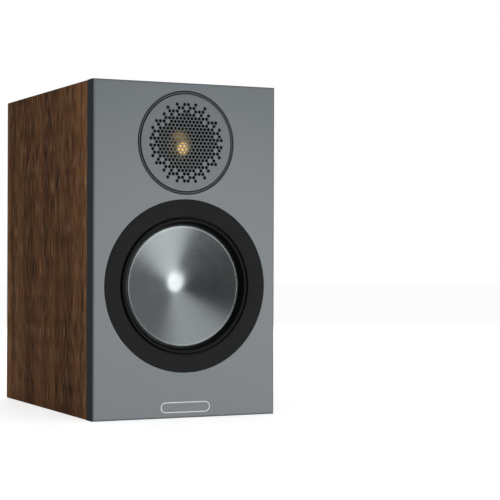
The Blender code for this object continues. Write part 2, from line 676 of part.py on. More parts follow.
def make_dome_surround(parent):
    """The small cloth roll round the dome, with a flat lip under the faceplate."""
    inner = DOME_RADIUS + 2 * GAP
    outer = inner + DOME_ROLL_WIDTH - GAP
    level = -(FACEPLATE_DEPTH - GAP - DOME_SURROUND_THICKNESS / 2)
    steps = 4
    midline = []
    for step in range(steps + 1):
        turn = math.pi * step / steps
        share = (1 - math.cos(turn)) / 2
        midline.append((inner + (outer - inner) * share, level + DOME_ROLL_HEIGHT * math.sin(turn)))
    midline.append((DOME_LIP_RADIUS, level))
    profile = ribbon(midline, DOME_SURROUND_THICKNESS)
    turned("tweeter_surround", profile, "rubber", parent, MEDIUM)


def make_tweeter_motor(parent):
    """The dome's voice coil on its former, the plates, the magnet and the rear cup."""
    former_top = -(DOME_BASE_DEPTH + DOME_THICKNESS + GAP)
    coil_bore = DOME_RADIUS - GAP
    coil_radius = DOME_RADIUS + GAP
    ring(
        "tweeter_coil", coil_bore, coil_radius, former_top, former_top - DOME_FORMER_LENGTH, "copper", parent, SMALL
    )
    plate_top = -(FACEPLATE_DEPTH + GAP)
    plate_bottom = plate_top - TWEETER_PLATE_THICKNESS
    bore = coil_radius + AIR_GAP
    ring("tweeter_top_plate", bore, TWEETER_PLATE_RADIUS, plate_top, plate_bottom, "steel", parent, MEDIUM)
    magnet_top = plate_bottom - GAP
    magnet_bottom = magnet_top - TWEETER_MAGNET_THICKNESS
    ring(
        "tweeter_magnet", TWEETER_MAGNET_BORE, TWEETER_MAGNET_RADIUS, magnet_top, magnet_bottom, "ferrite", parent, MEDIUM
    )
    back_top = magnet_bottom - GAP
    back_bottom = back_top - TWEETER_BACK_THICKNESS
    pole = coil_bore - AIR_GAP
    profile = [(TWEETER_VENT, plate_top - GAP), (pole, plate_top - GAP), (pole, back_top)]
    profile += [(TWEETER_PLATE_RADIUS, back_top), (TWEETER_PLATE_RADIUS, back_bottom)]
    profile.append((TWEETER_VENT, back_bottom))
    turned("tweeter_back_plate", profile, "steel", parent, MEDIUM)
    cup_top = back_bottom - GAP
    cup_end = cup_top - REAR_CUP_DEPTH
    inside = REAR_CUP_RADIUS - REAR_CUP_WALL
    profile = [(0, cup_end + REAR_CUP_WALL), (inside, cup_end + REAR_CUP_WALL), (inside, cup_top)]
    profile += [(REAR_CUP_RADIUS, cup_top), (REAR_CUP_RADIUS, cup_end), (0, cup_end)]
    turned("tweeter_rear_cup", profile, "black_plastic", parent, MEDIUM)
    return -cup_end


def make_tweeter():
    """Every piece of the treble driver. Returns how far it reaches behind the baffle's face."""
    tweeter = axis("tweeter_axis", 0, FRONT_Y, TWEETER_Z)
    make_tweeter_grille(tweeter)
    make_tweeter_trim(tweeter)
    make_faceplate(tweeter)
    make_dome(tweeter)
    make_dome_surround(tweeter)
    reach = make_tweeter_motor(tweeter)
    for index, (x, y) in enumerate(TWEETER_SCREW_SPOTS):
        head = -(PLATE_SEAT + GAP)
        screw(f"tweeter_screw_{index + 1}", TWEETER_SCREW, head, tweeter, x, y)
    return tweeter, reach


# ----------------------------------------------------------------- cabinet


def stepped_cutter(name, rebate_radius, rebate_depth, hole_radius, parent):
    """A cutter for a round rebate with a smaller hole right through the baffle."""
    bottom = -(BAFFLE_THICKNESS + GAP)
    profile = [(0, GAP), (rebate_radius, GAP), (rebate_radius, -rebate_depth)]
    profile += [(hole_radius, -rebate_depth), (hole_radius, bottom), (0, bottom)]
    return turned(name, profile, None, parent, LARGE)


def make_baffle(cabinet, woofer, tweeter):
    """The front baffle, rebated for both drivers, with blind holes for screws and magnets."""
    size = (CABINET_WIDTH, CABINET_HEIGHT, BAFFLE_THICKNESS)
    centre = (0, CABINET_HEIGHT / 2, -BAFFLE_THICKNESS / 2)
    baffle = box("front_baffle", size, centre, "baffle", cabinet)
    bevel_edges(baffle, BAFFLE_EDGE_ROUND, 2, lambda point: point.z > 0)
    trim = TRIM_RADIUS + GAP
    combine(baffle, stepped_cutter("woofer_cutter", trim, WOOFER_REBATE, WOOFER_HOLE, woofer))
    recess = TWEETER_RECESS
    combine(baffle, stepped_cutter("tweeter_cutter", recess, TWEETER_REBATE, TWEETER_HOLE, tweeter))
    for index, (x, y) in enumerate(WOOFER_SCREW_SPOTS):
        point = SCREW_HEAD_DEPTH + WOOFER_SCREW[3] + WOOFER_SCREW[1] + PILOT_DEPTH
        bottom = -min(point, BAFFLE_THICKNESS + GAP)
        screw_hole(baffle, f"woofer_pilot_{index}", WOOFER_SCREW, 0, bottom, woofer, x, y)
    for index, (x, y) in enumerate(TWEETER_SCREW_SPOTS):
        point = PLATE_SEAT + GAP + TWEETER_SCREW[3] + TWEETER_SCREW[1] + PILOT_DEPTH
        bottom = -min(point, BAFFLE_THICKNESS + GAP)
        screw_hole(baffle, f"tweeter_pilot_{index}", TWEETER_SCREW, -GAP, bottom, tweeter, x, y)
    make_badge(baffle, cabinet)
    make_grille_magnets(baffle, cabinet)


def make_badge(baffle, cabinet):
    """A plain bar with rounded corners in a shallow pocket near the baffle's lower edge."""
    height = BADGE_MARGIN + BADGE_HEIGHT / 2
    pocket_depth = BADGE_SETBACK + BADGE_THICKNESS + GAP
    size = (BADGE_WIDTH + 2 * GAP, BADGE_HEIGHT + 2 * GAP, 2 * pocket_depth)
    combine(baffle, box("badge_pocket", size, (0, height, 0), None, cabinet))
    corner = BADGE_HEIGHT / 6
    loop = [(x, y + height) for x, y in rounded_rectangle(BADGE_WIDTH, BADGE_HEIGHT, corner)]
    middle = -(BADGE_SETBACK + BADGE_THICKNESS / 2)
    outline("badge_plate", [loop], BADGE_THICKNESS, middle, "badge", cabinet)


def make_grille_magnets(baffle, cabinet):
    """Four disc magnets, each glued in a blind hole drilled from behind."""
    x_spot = HALF_WIDTH - GRILLE_MAGNET_INSET_X
    top_spot = CABINET_HEIGHT - GRILLE_MAGNET_INSET_Z
    spots = [(-x_spot, GRILLE_MAGNET_INSET_Z), (x_spot, GRILLE_MAGNET_INSET_Z)]
    spots += [(-x_spot, top_spot), (x_spot, top_spot)]
    top = -(GRILLE_MAGNET_SKIN + GAP)
    bottom = top - GRILLE_MAGNET_THICKNESS
    radius = GRILLE_MAGNET_RADIUS
    for index, (x, y) in enumerate(spots):
        name = f"grille_magnet_{index + 1}"
        cylinder(name, radius, top, bottom, "ferrite", cabinet, SCREW, x, y)
        end = -(BAFFLE_THICKNESS + GAP)
        pocket = cylinder(f"{name}_pocket", radius + GAP, -GRILLE_MAGNET_SKIN, end, None, cabinet, SCREW, x, y)
        combine(baffle, pocket)


def make_panels(cabinet):
    """Two sides, the top and the bottom, mitred where they meet behind the baffle."""
    mitre = GAP * math.sqrt(2)
    length = CABINET_DEPTH - BAFFLE_THICKNESS - GAP
    middle = -(BAFFLE_THICKNESS + GAP + length / 2)
    wall = PANEL_THICKNESS
    for side, word in ((-1, "left"), (1, "right")):
        outer, inner = side * HALF_WIDTH, side * (HALF_WIDTH - wall)
        low, high = mitre, CABINET_HEIGHT - mitre
        loop = [(outer, low), (outer, high), (inner, high - wall), (inner, low + wall)]
        outline(f"side_panel_{word}", [loop], length, middle, "walnut", cabinet)
    for edge, into, word in ((CABINET_HEIGHT, -wall, "top"), (0, wall, "bottom")):
        inner = HALF_WIDTH - wall
        loop = [(-HALF_WIDTH, edge), (HALF_WIDTH, edge), (inner, edge + into), (-inner, edge + into)]
        outline(f"{word}_panel", [loop], length, middle, "walnut", cabinet)


def make_rear_panel(cabinet, port, terminals):
    """The rear panel between the others, flush with their edges, with its two cut-outs."""
    inside = PANEL_THICKNESS + GAP
    size = (CABINET_WIDTH - 2 * inside, CABINET_HEIGHT - 2 * inside, REAR_THICKNESS)
    centre = (0, CABINET_HEIGHT / 2, -(CABINET_DEPTH - REAR_THICKNESS / 2))
    rear = box("rear_panel", size, centre, "walnut", cabinet)
    through = REAR_THICKNESS + GAP
    combine(rear, cylinder("port_hole", PORT_MOUTH + GAP, GAP, -through, None, port, MEDIUM))
    opening = (CUT_OUT_WIDTH, CUT_OUT_HEIGHT, 2 * through)
    combine(rear, box("terminal_cut_out", opening, (0, 0, 0), None, terminals))
    for index, (x, y) in enumerate(TERMINAL_SCREW_SPOTS):
        bottom = -(TERMINAL_SCREW[1] - PLATE_THICKNESS + PILOT_DEPTH)
        screw_hole(rear, f"terminal_pilot_{index}", TERMINAL_SCREW, GAP, bottom, terminals, x, y)


def make_wadding():
    """A pad of wadding on the cabinet's floor, behind the woofer."""
    inside = HALF_WIDTH - PANEL_THICKNESS - WADDING_MARGIN
    size = (2 * inside, WADDING_LENGTH, WADDING_THICKNESS)
    height = PANEL_THICKNESS + GAP + WADDING_THICKNESS / 2
    start = FRONT_Y + BAFFLE_THICKNESS + WADDING_MARGIN
    pad = box("wadding", size, (0, start + WADDING_LENGTH / 2, height), "wadding")
    rounding = pad.modifiers.new("round", "BEVEL")
    rounding.width = WADDING_ROUND
    rounding.segments = 2


# ---------------------------------------------------- port and terminals

CUT_OUT_WIDTH = PLATE_WIDTH - 2 * PLATE_RIM
CUT_OUT_HEIGHT = PLATE_HEIGHT - 2 * PLATE_RIM
SCREW_X = PLATE_WIDTH / 2 - PLATE_SCREW_INSET
SCREW_Y = PLATE_HEIGHT / 2 - PLATE_SCREW_INSET
CORNERS = [(1, 1), (-1, 1), (-1, -1), (1, -1)]
TERMINAL_SCREW_SPOTS = [(sx * SCREW_X, sy * SCREW_Y) for sx, sy in CORNERS]
PLATE_FACE = GAP + PLATE_THICKNESS
BOARD_BACK = -(REAR_THICKNESS + BOARD_STANDOFF)
BOARD_FACE = BOARD_BACK - GAP - BOARD_THICKNESS
COLLAR_TOP = PLATE_FACE + GAP + COLLAR_THICKNESS


def make_port(parent):
    """The reflex port: a tube with a quarter-ellipse flare and a thin flange outside."""
    top = GAP + PORT_FLANGE_THICKNESS
    flare_height = top + PORT_FLARE_LENGTH
    steps = 4
    inner, outer = [], []
    for step in range(steps + 1):
        turn = step / steps * math.pi / 2
        height = -PORT_FLARE_LENGTH + flare_height * math.sin(turn)
        radius = PORT_BORE + (PORT_MOUTH - PORT_BORE) * (1 - math.cos(turn))
        inner.append((radius, height))
        if height < 0:
            outer.append((radius + PORT_WALL, height))
    flange_foot = outer[-1][0]
    profile = [
        (PORT_FLANGE_RADIUS - PORT_FLANGE_THICKNESS / 2, top),
        (PORT_FLANGE_RADIUS, top - PORT_FLANGE_THICKNESS / 2),
        (PORT_FLANGE_RADIUS, GAP),
        (flange_foot, GAP),
        *outer[::-1],
        (PORT_BORE + PORT_WALL, -PORT_LENGTH),
        (PORT_BORE, -PORT_LENGTH),
        *inner,
    ]
    turned("port_tube", profile, "black_plastic", parent, MEDIUM)


def make_terminal_plate(parent):
    """The moulded plate that carries both posts and, on four bosses, the crossover board."""
    loops = [rounded_rectangle(PLATE_WIDTH, PLATE_HEIGHT, PLATE_CORNER)]
    for side in (-1, 1):
        loops.append(circle(STEM_RADIUS + GAP, SMALL, side * POST_SPACING / 2))
    for x, y in TERMINAL_SCREW_SPOTS:
        loops.append(circle(TERMINAL_SCREW[0] + GAP, SCREW, x, y))
    middle = GAP + PLATE_THICKNESS / 2
    plate = as_mesh(outline("terminal_plate", loops, PLATE_THICKNESS, middle, "black_plastic", parent))
    board_x = CUT_OUT_WIDTH / 2 - BOARD_MARGIN - BOSS_INSET
    board_y = CUT_OUT_HEIGHT / 2 - BOARD_MARGIN - BOSS_INSET
    for index, (sx, sy) in enumerate(CORNERS):
        top = GAP + PLATE_THICKNESS / 2
        spot = (sx * board_x, sy * board_y)
        boss = cylinder(f"boss_{index}", BOSS_RADIUS, top, BOARD_BACK, None, parent, SCREW, *spot)
        combine(plate, boss, "UNION")
    for index, (x, y) in enumerate(TERMINAL_SCREW_SPOTS):
        screw(f"terminal_screw_{index + 1}", TERMINAL_SCREW, PLATE_FACE + GAP + TERMINAL_SCREW[3], parent, x, y)


def make_post(parent, word, finish):
    """A threaded post with its 4 mm socket, the clamping washer and the fluted nut that screws in."""
    stem_top = COLLAR_TOP + STEM_LENGTH
    tail = BOARD_FACE - TAIL_PROUD
    shoulder = GAP - STEM_RADIUS
    profile = [
        (0, stem_top - SOCKET_DEPTH),
        (SOCKET_RADIUS, stem_top - SOCKET_DEPTH),
        (SOCKET_RADIUS, stem_top),
        (STEM_RADIUS, stem_top),
        (STEM_RADIUS, COLLAR_TOP),
        (COLLAR_RADIUS, COLLAR_TOP),
        (COLLAR_RADIUS, PLATE_FACE + GAP),
        (STEM_RADIUS, PLATE_FACE + GAP),
        (STEM_RADIUS, shoulder),
        (TAIL_RADIUS, shoulder),
        (TAIL_RADIUS, tail),
        (0, tail),
    ]
    turned(f"terminal_post_{word}", profile, "gold_plate", parent, SMALL)
    bore = STEM_RADIUS + GAP
    washer_bottom = COLLAR_TOP + GAP
    washer_top = washer_bottom + WASHER_THICKNESS
    ring(f"terminal_washer_{word}", bore, WASHER_RADIUS, washer_top, washer_bottom, "gold_plate", parent, SMALL)
    fluted = []
    points = 4 * NUT_FLUTES
    for index in range(points):
        turn = 2 * math.pi * index / points
        radius = NUT_RADIUS - NUT_FLUTE_DEPTH * (1 - math.cos(NUT_FLUTES * turn)) / 2
        fluted.append((radius * math.cos(turn), radius * math.sin(turn)))
    middle = washer_top + GAP + NUT_LENGTH / 2
    outline(f"terminal_nut_{word}", [fluted, circle(bore, SMALL)], NUT_LENGTH, middle, finish, parent)


def make_crossover(parent):
    """The board on its bosses, two wound inductors standing on it and two capacitors lying on it."""
    width = CUT_OUT_WIDTH - 2 * BOARD_MARGIN
    height = CUT_OUT_HEIGHT - 2 * BOARD_MARGIN
    edge = [(sx * width / 2, sy * height / 2) for sx, sy in CORNERS]
    loops = [edge]
    for side in (-1, 1):
        loops.append(circle(TAIL_RADIUS + GAP, SCREW, side * POST_SPACING / 2))
    middle = BOARD_BACK - GAP - BOARD_THICKNESS / 2
    outline("crossover_board", loops, BOARD_THICKNESS, middle, "board", parent)
    for name, ((x, y), radius, length) in BOARD_COILS.items():
        top = BOARD_FACE - GAP
        waist = radius - BOBBIN_FLANGE
        profile = [
            (BOBBIN_BORE, top),
            (radius, top),
            (radius, top - BOBBIN_FLANGE),
            (waist, top - BOBBIN_FLANGE),
            (waist, top - length + BOBBIN_FLANGE),
            (radius, top - length + BOBBIN_FLANGE),
            (radius, top - length),
            (BOBBIN_BORE, top - length),
        ]
        coil = turned(name, profile, "copper", parent, SMALL)
        coil.location = (x, y, 0)
    for name, ((x, y), radius, length) in BOARD_CAPACITORS.items():
        can = cylinder(name, radius, length / 2, -length / 2, "capacitor", parent, SMALL)
        can.rotation_euler = (0, math.pi / 2, 0)
        can.location = (x, y, BOARD_FACE - GAP - radius)


# ------------------------------------------------------------------- leads


def smooth_route(points):
    """Points of a Catmull-Rom curve through the route's own points."""
    ends = [points[0], *points, points[-1]]
    route = []
    for i in range(1, len(points)):
        p0, p1, p2, p3 = ends[i - 1 : i + 3]
        for step in range(LEAD_POINTS):
            t = step / LEAD_POINTS
            weights = (
                -0.5 * t + t * t - 0.5 * t**3,
                1 - 2.5 * t * t + 1.5 * t**3,
                0.5 * t + 2 * t * t - 1.5 * t**3,
                -0.5 * t * t + 0.5 * t**3,
            )
            corners = zip(p0, p1, p2, p3)
            route.append([sum(w * c for w, c in zip(weights, corner)) for corner in corners])
    return route + [list(points[-1])]


def make_lead(name, points):
    """A twin lead in one sheath along a smooth route."""
    curve = bpy.data.curves.new(name, "CURVE")
    curve.dimensions = "3D"
    curve.bevel_depth = LEAD_RADIUS
    curve.bevel_resolution = 1
    curve.use_fill_caps = True
    route = smooth_route(points)
    spline = curve.splines.new("POLY")
    spline.points.add(len(route) - 1)
    for point, place in zip(spline.points, route):
        point.co = (*place, 1)
    add(name, curve, "lead", None)


def make_leads(tweeter_reach):
    """The two leads from the board, one to the woofer's tag block and one to the tweeter's cup."""
    board_y = REAR_Y + BOARD_FACE - GAP
    side = CUT_OUT_WIDTH / 2 - BOARD_MARGIN - LEAD_RADIUS
    wall = HALF_WIDTH - PANEL_THICKNESS - LEAD_CLEARANCE
    tags = WOOFER_Z + BASKET_SHELF_RADIUS + BASKET_WALL + TAG_BLOCK[1] + GAP
    tag_y = FRONT_Y + MOTOR_DEPTH - TAG_BLOCK[2] / 2
    run = board_y - 25 * MM
    stub = LEAD_STUB
    woofer_route = [
        (-side, board_y, TERMINAL_HEIGHT),
        (-side, board_y - 2 * stub, TERMINAL_HEIGHT),
        (-side - 1 * MM, run, TERMINAL_HEIGHT + 2 * MM),
        (-wall, run - 40 * MM, TERMINAL_HEIGHT + 45 * MM),
        (-wall, tag_y + 35 * MM, tags),
        (-20 * MM, tag_y + 6 * MM, tags + 16 * MM),
        (0, tag_y, tags + 2 * stub),
        (0, tag_y, tags + stub),
        (0, tag_y, tags),
    ]
    make_lead("woofer_lead", woofer_route)
    cup_y = FRONT_Y + tweeter_reach + GAP
    tweeter_route = [
        (side, board_y, TERMINAL_HEIGHT),
        (side, board_y - 2 * stub, TERMINAL_HEIGHT),
        (side + 1 * MM, run, TERMINAL_HEIGHT + 2 * MM),
        (wall, run - 30 * MM, TERMINAL_HEIGHT + 65 * MM),
        (wall, run - 60 * MM, TWEETER_Z - 30 * MM),
        (30 * MM, cup_y + 25 * MM, TWEETER_Z),
        (0, cup_y + 2 * stub, TWEETER_Z),
        (0, cup_y + stub, TWEETER_Z),
        (0, cup_y, TWEETER_Z),
    ]
    make_lead("tweeter_lead", tweeter_route)


def main():
    cabinet = axis("cabinet_axis", 0, FRONT_Y, 0)
    woofer = make_woofer()
    tweeter, tweeter_reach = make_tweeter()
    port = axis("port_axis", 0, REAR_Y, PORT_Z, outward=1)
    terminals = axis("terminal_axis", 0, REAR_Y, TERMINAL_HEIGHT, outward=1)
    make_baffle(cabinet, woofer, tweeter)
    make_panels(cabinet)
    make_rear_panel(cabinet, port, terminals)
    make_port(port)
    make_terminal_plate(terminals)
    make_crossover(terminals)
    for side, word in ((-1, "black"), (1, "red")):
        post = axis(f"post_axis_{word}", side * POST_SPACING / 2, REAR_Y, TERMINAL_HEIGHT, outward=1)
        make_post(post, word, f"nut_{word}")
    make_wadding()
    make_leads(tweeter_reach)


main()
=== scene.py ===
"""A two-way bookshelf loudspeaker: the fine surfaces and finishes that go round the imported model.

Each sub-assembly is a class that holds its sizes, builds the surfaces that show, and hands them to the
body they move with. Everything is in metres, +Z is up and the baffle faces -Y.
"""

from __future__ import annotations

import json
import logging
import math
from dataclasses import dataclass, field
from enum import Enum
from typing import Any

import bmesh
import bpy
import numpy as np
from mathutils import Matrix, Vector
from mathutils.geometry import delaunay_2d_cdt


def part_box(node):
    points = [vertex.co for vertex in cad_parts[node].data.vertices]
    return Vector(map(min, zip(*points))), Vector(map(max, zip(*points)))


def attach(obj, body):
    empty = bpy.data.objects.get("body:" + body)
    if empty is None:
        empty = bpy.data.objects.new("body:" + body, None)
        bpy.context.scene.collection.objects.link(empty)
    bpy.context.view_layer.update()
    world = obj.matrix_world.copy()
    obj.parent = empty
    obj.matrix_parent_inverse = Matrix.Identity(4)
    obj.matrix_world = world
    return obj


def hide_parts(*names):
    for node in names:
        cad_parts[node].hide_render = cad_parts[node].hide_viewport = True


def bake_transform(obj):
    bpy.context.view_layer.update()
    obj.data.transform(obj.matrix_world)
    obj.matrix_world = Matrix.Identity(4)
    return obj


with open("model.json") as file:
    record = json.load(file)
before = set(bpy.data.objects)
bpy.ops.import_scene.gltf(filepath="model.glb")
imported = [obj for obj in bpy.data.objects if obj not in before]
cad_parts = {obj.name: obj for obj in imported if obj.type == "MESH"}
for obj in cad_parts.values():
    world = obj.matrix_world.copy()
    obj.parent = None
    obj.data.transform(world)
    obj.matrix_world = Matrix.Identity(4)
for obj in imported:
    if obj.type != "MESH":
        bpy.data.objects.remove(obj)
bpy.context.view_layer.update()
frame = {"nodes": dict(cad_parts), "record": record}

log = logging.getLogger("loudspeaker")
MM = 0.001
MERGE = 0.002 * MM
SHARP = math.radians(32)
WOOFER_Z = 107.05 * MM
TWEETER_Z = 223.4 * MM
TERMINALS_Z = 62 * MM
REAR = 116.5 * MM
WHITE = (1.0, 1.0, 1.0, 1.0)
CORNERS = ((1, 1), (-1, 1), (-1, -1), (1, -1))

Paint = tuple[float, float, float, float]
Spot = tuple[float, float, float]
Pattern = tuple[Any, Any, Any]


class Body(Enum):
    """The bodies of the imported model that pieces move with."""

    CABINET = "cabinet"
    CONE = "woofer_cone_assembly"
    DOME = "tweeter_dome_assembly"
    WASHER_RED = "washer_red"
    WASHER_BLACK = "washer_black"
    NUT_RED = "nut_red"
    NUT_BLACK = "nut_black"


class Slot(Enum):
    """The record's material slots."""

    BAFFLE = "baffle"
    WALNUT = "walnut"
    BADGE = "badge"
    BLACK_PLASTIC = "black_plastic"
    RUBBER = "rubber"
    FOAM = "foam"
    CONE_METAL = "cone_metal"
    CAST_METAL = "cast_metal"
    STEEL = "steel"
    FERRITE = "ferrite"
    COPPER = "copper"
    FORMER = "former"
    SPIDER = "spider"
    GRILLE = "grille"
    GOLD_DOME = "gold_dome"
    GOLD_PLATE = "gold_plate"
    NUT_RED = "nut_red"
    NUT_BLACK = "nut_black"
    BOARD = "board"
    CAPACITOR = "capacitor"
    WADDING = "wadding"
    LEAD = "lead"


class GrainPath(Enum):
    """What the timber's grain follows: a piece's own map, or the cabinet's upright direction."""

    MAP = "map"
    UPRIGHT = "upright"


# ------------------------------------------------------------------ outlines and surfaces


def mm(*rows: Any) -> np.ndarray:
    """Numbers in millimetres as metres."""
    return np.array(rows, float) * MM


def circle(count: int) -> np.ndarray:
    """Points (cos a, sin a) evenly round a circle of radius 1, count x 2."""
    turn = np.linspace(0, 2 * math.pi, count, endpoint=False)
    return np.stack([np.cos(turn), np.sin(turn)], axis=1)


def eased(corners: Any, ease: Any, steps: int = 4, closed: bool = True) -> np.ndarray:
    """Rounds the corners of a flat chain.

    Each corner C becomes the parabola (1-t)^2 A + 2t(1-t) C + t^2 B, where A and B lie the ease away from C
    towards its two neighbours.

    Args:
        corners: Corner points, n x 2.
        ease: How far from each corner the rounding starts, one number or one per corner.
        steps: Chords in each rounding.
        closed: Whether the chain's last point joins its first.

    Returns:
        The rounded chain, n * (steps + 1) x 2.
    """
    corners = np.asarray(corners, float)
    before = np.roll(corners, 1, axis=0) - corners
    after = np.roll(corners, -1, axis=0) - corners
    reach_before = np.linalg.norm(before, axis=1)
    reach_after = np.linalg.norm(after, axis=1)
    reach = np.minimum(np.broadcast_to(ease, len(corners)), 0.5 * np.minimum(reach_before, reach_after))
    if not closed:
        reach = reach * np.r_[0.0, np.ones(len(corners) - 2), 0.0]
    start = corners + before * (reach / reach_before)[:, None]
    end = corners + after * (reach / reach_after)[:, None]
    t = np.linspace(0, 1, steps + 1)[None, :, None]
    rounded = (1 - t) ** 2 * start[:, None] + 2 * t * (1 - t) * corners[:, None] + t**2 * end[:, None]
    return rounded.reshape(-1, 2)


def ribbon(midline: np.ndarray, thickness: float) -> np.ndarray:
    """Gives a line an even thickness: the line moved half of it along its normals, one way and back the other.

    Args:
        midline: Points of the line, n x 2.
        thickness: The finished thickness.

    Returns:
        A closed profile, 2n x 2.
    """
    along = np.gradient(midline, axis=0)
    normal = np.stack([-along[:, 1], along[:, 0]], axis=1)
    normal *= thickness / 2 / np.linalg.norm(normal, axis=1)[:, None]
    return np.concatenate([midline + normal, (midline - normal)[::-1]])


def rounded_loop(width: float, height: float, corner: float, steps: int = 8) -> np.ndarray:
    """A rectangle's outline with quarter-circle corners, anticlockwise.

    Args:
        width: Overall width.
        height: Overall height.
        corner: Radius of each corner.
        steps: Chords in each corner.

    Returns:
        The outline's points, 4 * (steps + 1) x 2.
    """
    centres = np.array(CORNERS, float) * [width / 2 - corner, height / 2 - corner]
    turn = np.arange(4)[:, None] * math.pi / 2 + np.linspace(0, math.pi / 2, steps + 1)[None, :]
    arc = corner * np.stack([np.cos(turn), np.sin(turn)], axis=-1)
    return (centres[:, None] + arc).reshape(-1, 2)


def grid_faces(rows: int, columns: int, wrap_rows: bool, wrap_columns: bool) -> np.ndarray:
    """Quads between neighbouring points of a grid that is numbered row by row.

    Args:
        rows: Points along the profile.
        columns: Points along the path.
        wrap_rows: Whether the last row joins the first.
        wrap_columns: Whether the last column joins the first.

    Returns:
        Point numbers, faces x 4.
    """
    index = np.arange(rows * columns).reshape(rows, columns)
    if wrap_rows:
        index = np.vstack([index, index[:1]])
    if wrap_columns:
        index = np.hstack([index, index[:, :1]])
    around = [index[:-1, :-1], index[:-1, 1:], index[1:, 1:], index[1:, :-1]]
    return np.stack(around, axis=-1).reshape(-1, 4)


@dataclass
class Shell:
    """Grids of points gathered into one closed piece."""

    name: str
    points: list[np.ndarray] = field(default_factory=list)
    faces: list[np.ndarray] = field(default_factory=list)
    count: int = 0

    def grid(self, grid: np.ndarray, wrap_rows: bool = False, wrap_columns: bool = True) -> Shell:
        """Adds a surface given as rows x columns x 3 points, and returns the shell."""
        rows, columns = grid.shape[:2]
        return self.loose(grid.reshape(-1, 3), grid_faces(rows, columns, wrap_rows, wrap_columns))

    def loose(self, points: np.ndarray, faces: np.ndarray) -> Shell:
        """Adds points and the faces between them.

        Args:
            points: The points, n x 3.
            faces: Point numbers, faces x 3 or x 4.

        Returns:
            The shell.
        """
        self.points.append(points)
        self.faces.append(faces + self.count)
        self.count += len(points)
        return self

    def piece(self, recalculate: bool = True, grain_map: np.ndarray | None = None) -> bpy.types.Object:
        """Sews the grids together and makes the object.

        Args:
            recalculate: Whether the faces are turned outwards.
            grain_map: Map coordinates for each corner of each face, in metres, or none.

        Returns:
            The object, at the origin, with its place in its mesh.
        """
        mesh = bpy.data.meshes.new(self.name)
        faces = [face for block in self.faces for face in block.tolist()]
        mesh.from_pydata(np.concatenate(self.points).tolist(), [], faces)
        if grain_map is not None:
            mesh.uv_layers.new(name="grain").data.foreach_set("uv", grain_map.ravel())
        work = bmesh.new()
        work.from_mesh(mesh)
        bmesh.ops.remove_doubles(work, verts=work.verts, dist=MERGE)
        bmesh.ops.dissolve_degenerate(work, edges=work.edges, dist=MERGE / 4)
        if recalculate:
            bmesh.ops.recalc_face_normals(work, faces=work.faces)
        work.to_mesh(mesh)
        work.free()
        soften(mesh)
        piece = bpy.data.objects.new(self.name, mesh)
        bpy.context.scene.collection.objects.link(piece)
        return piece


def soften(mesh: bpy.types.Mesh) -> None:
    """Shades a mesh smooth, apart from its sharp edges."""
    mesh.shade_smooth()
    mesh.set_sharp_from_angle(angle=SHARP)


def cut(piece: bpy.types.Object, cutter: bpy.types.Object) -> None:
    """Takes the cutter's volume out of the piece, and removes the cutter.

    Args:
        piece: The object that is cut.
        cutter: The closed object to take away.
    """
    modifier = piece.modifiers.new("cut", "BOOLEAN")
    modifier.object = cutter
    modifier.operation = "DIFFERENCE"
    modifier.solver = "EXACT"
    bpy.context.view_layer.update()
    evaluated = piece.evaluated_get(bpy.context.evaluated_depsgraph_get())
    finished = bpy.data.meshes.new_from_object(evaluated)
    piece.modifiers.clear()
    piece.data = finished
    finished.name = piece.name
    soften(finished)
    bpy.data.objects.remove(cutter)


@dataclass(frozen=True)
class Axis:
    """A line straight out of the cabinet's front or rear face. Heights along it count outwards from the face."""

    x: float
    z: float
    face: float
    outward: int

    def points(self, across: Any, height: Any, up: Any) -> np.ndarray:
        """Points at x + across, at a height outwards from the face, and at z + up."""
        across, height, up = np.broadcast_arrays(across, height, up)
        return np.stack([self.x + across, self.face + self.outward * height, self.z + up], axis=-1)

    def turned(self, profile: np.ndarray, columns: int, swell: np.ndarray | float = 1.0) -> np.ndarray:
        """Carries a profile round the line: (x + r s cos a, height, z + r s sin a) for the profile's (r, height).

        Args:
            profile: Radius and height of each point, n x 2.
            columns: Steps round the line.
            swell: The factor s on the radius, one number or rows x columns.

        Returns:
            Rows x columns x 3 points.
        """
        angle = np.linspace(0, 2 * math.pi, columns, endpoint=False)[None, :]
        radius = profile[:, :1] * swell
        return self.points(radius * np.cos(angle), profile[:, 1:], radius * np.sin(angle))

    def stacked(self, loops: list[np.ndarray], heights: list[float]) -> np.ndarray:
        """Stacks outlines of equal count at the given heights, as rows x columns x 3 points."""
        flat = np.stack(loops)
        return self.points(flat[..., 0], np.array(heights)[:, None], flat[..., 1])


def turned_piece(name: str, axis: Axis, profile: np.ndarray, columns: int, closed: bool = True) -> bpy.types.Object:
    """Makes one closed piece by carrying a profile round an axis.

    Args:
        name: The piece's name.
        axis: The line it is turned round.
        profile: Radius and height of each point, n x 2.
        columns: Steps round the line.
        closed: Whether the profile's last point joins its first. Otherwise both ends lie on the line.

    Returns:
        The object.
    """
    return Shell(name).grid(axis.turned(profile, columns), wrap_rows=closed).piece()


# ------------------------------------------------------------------ node trees


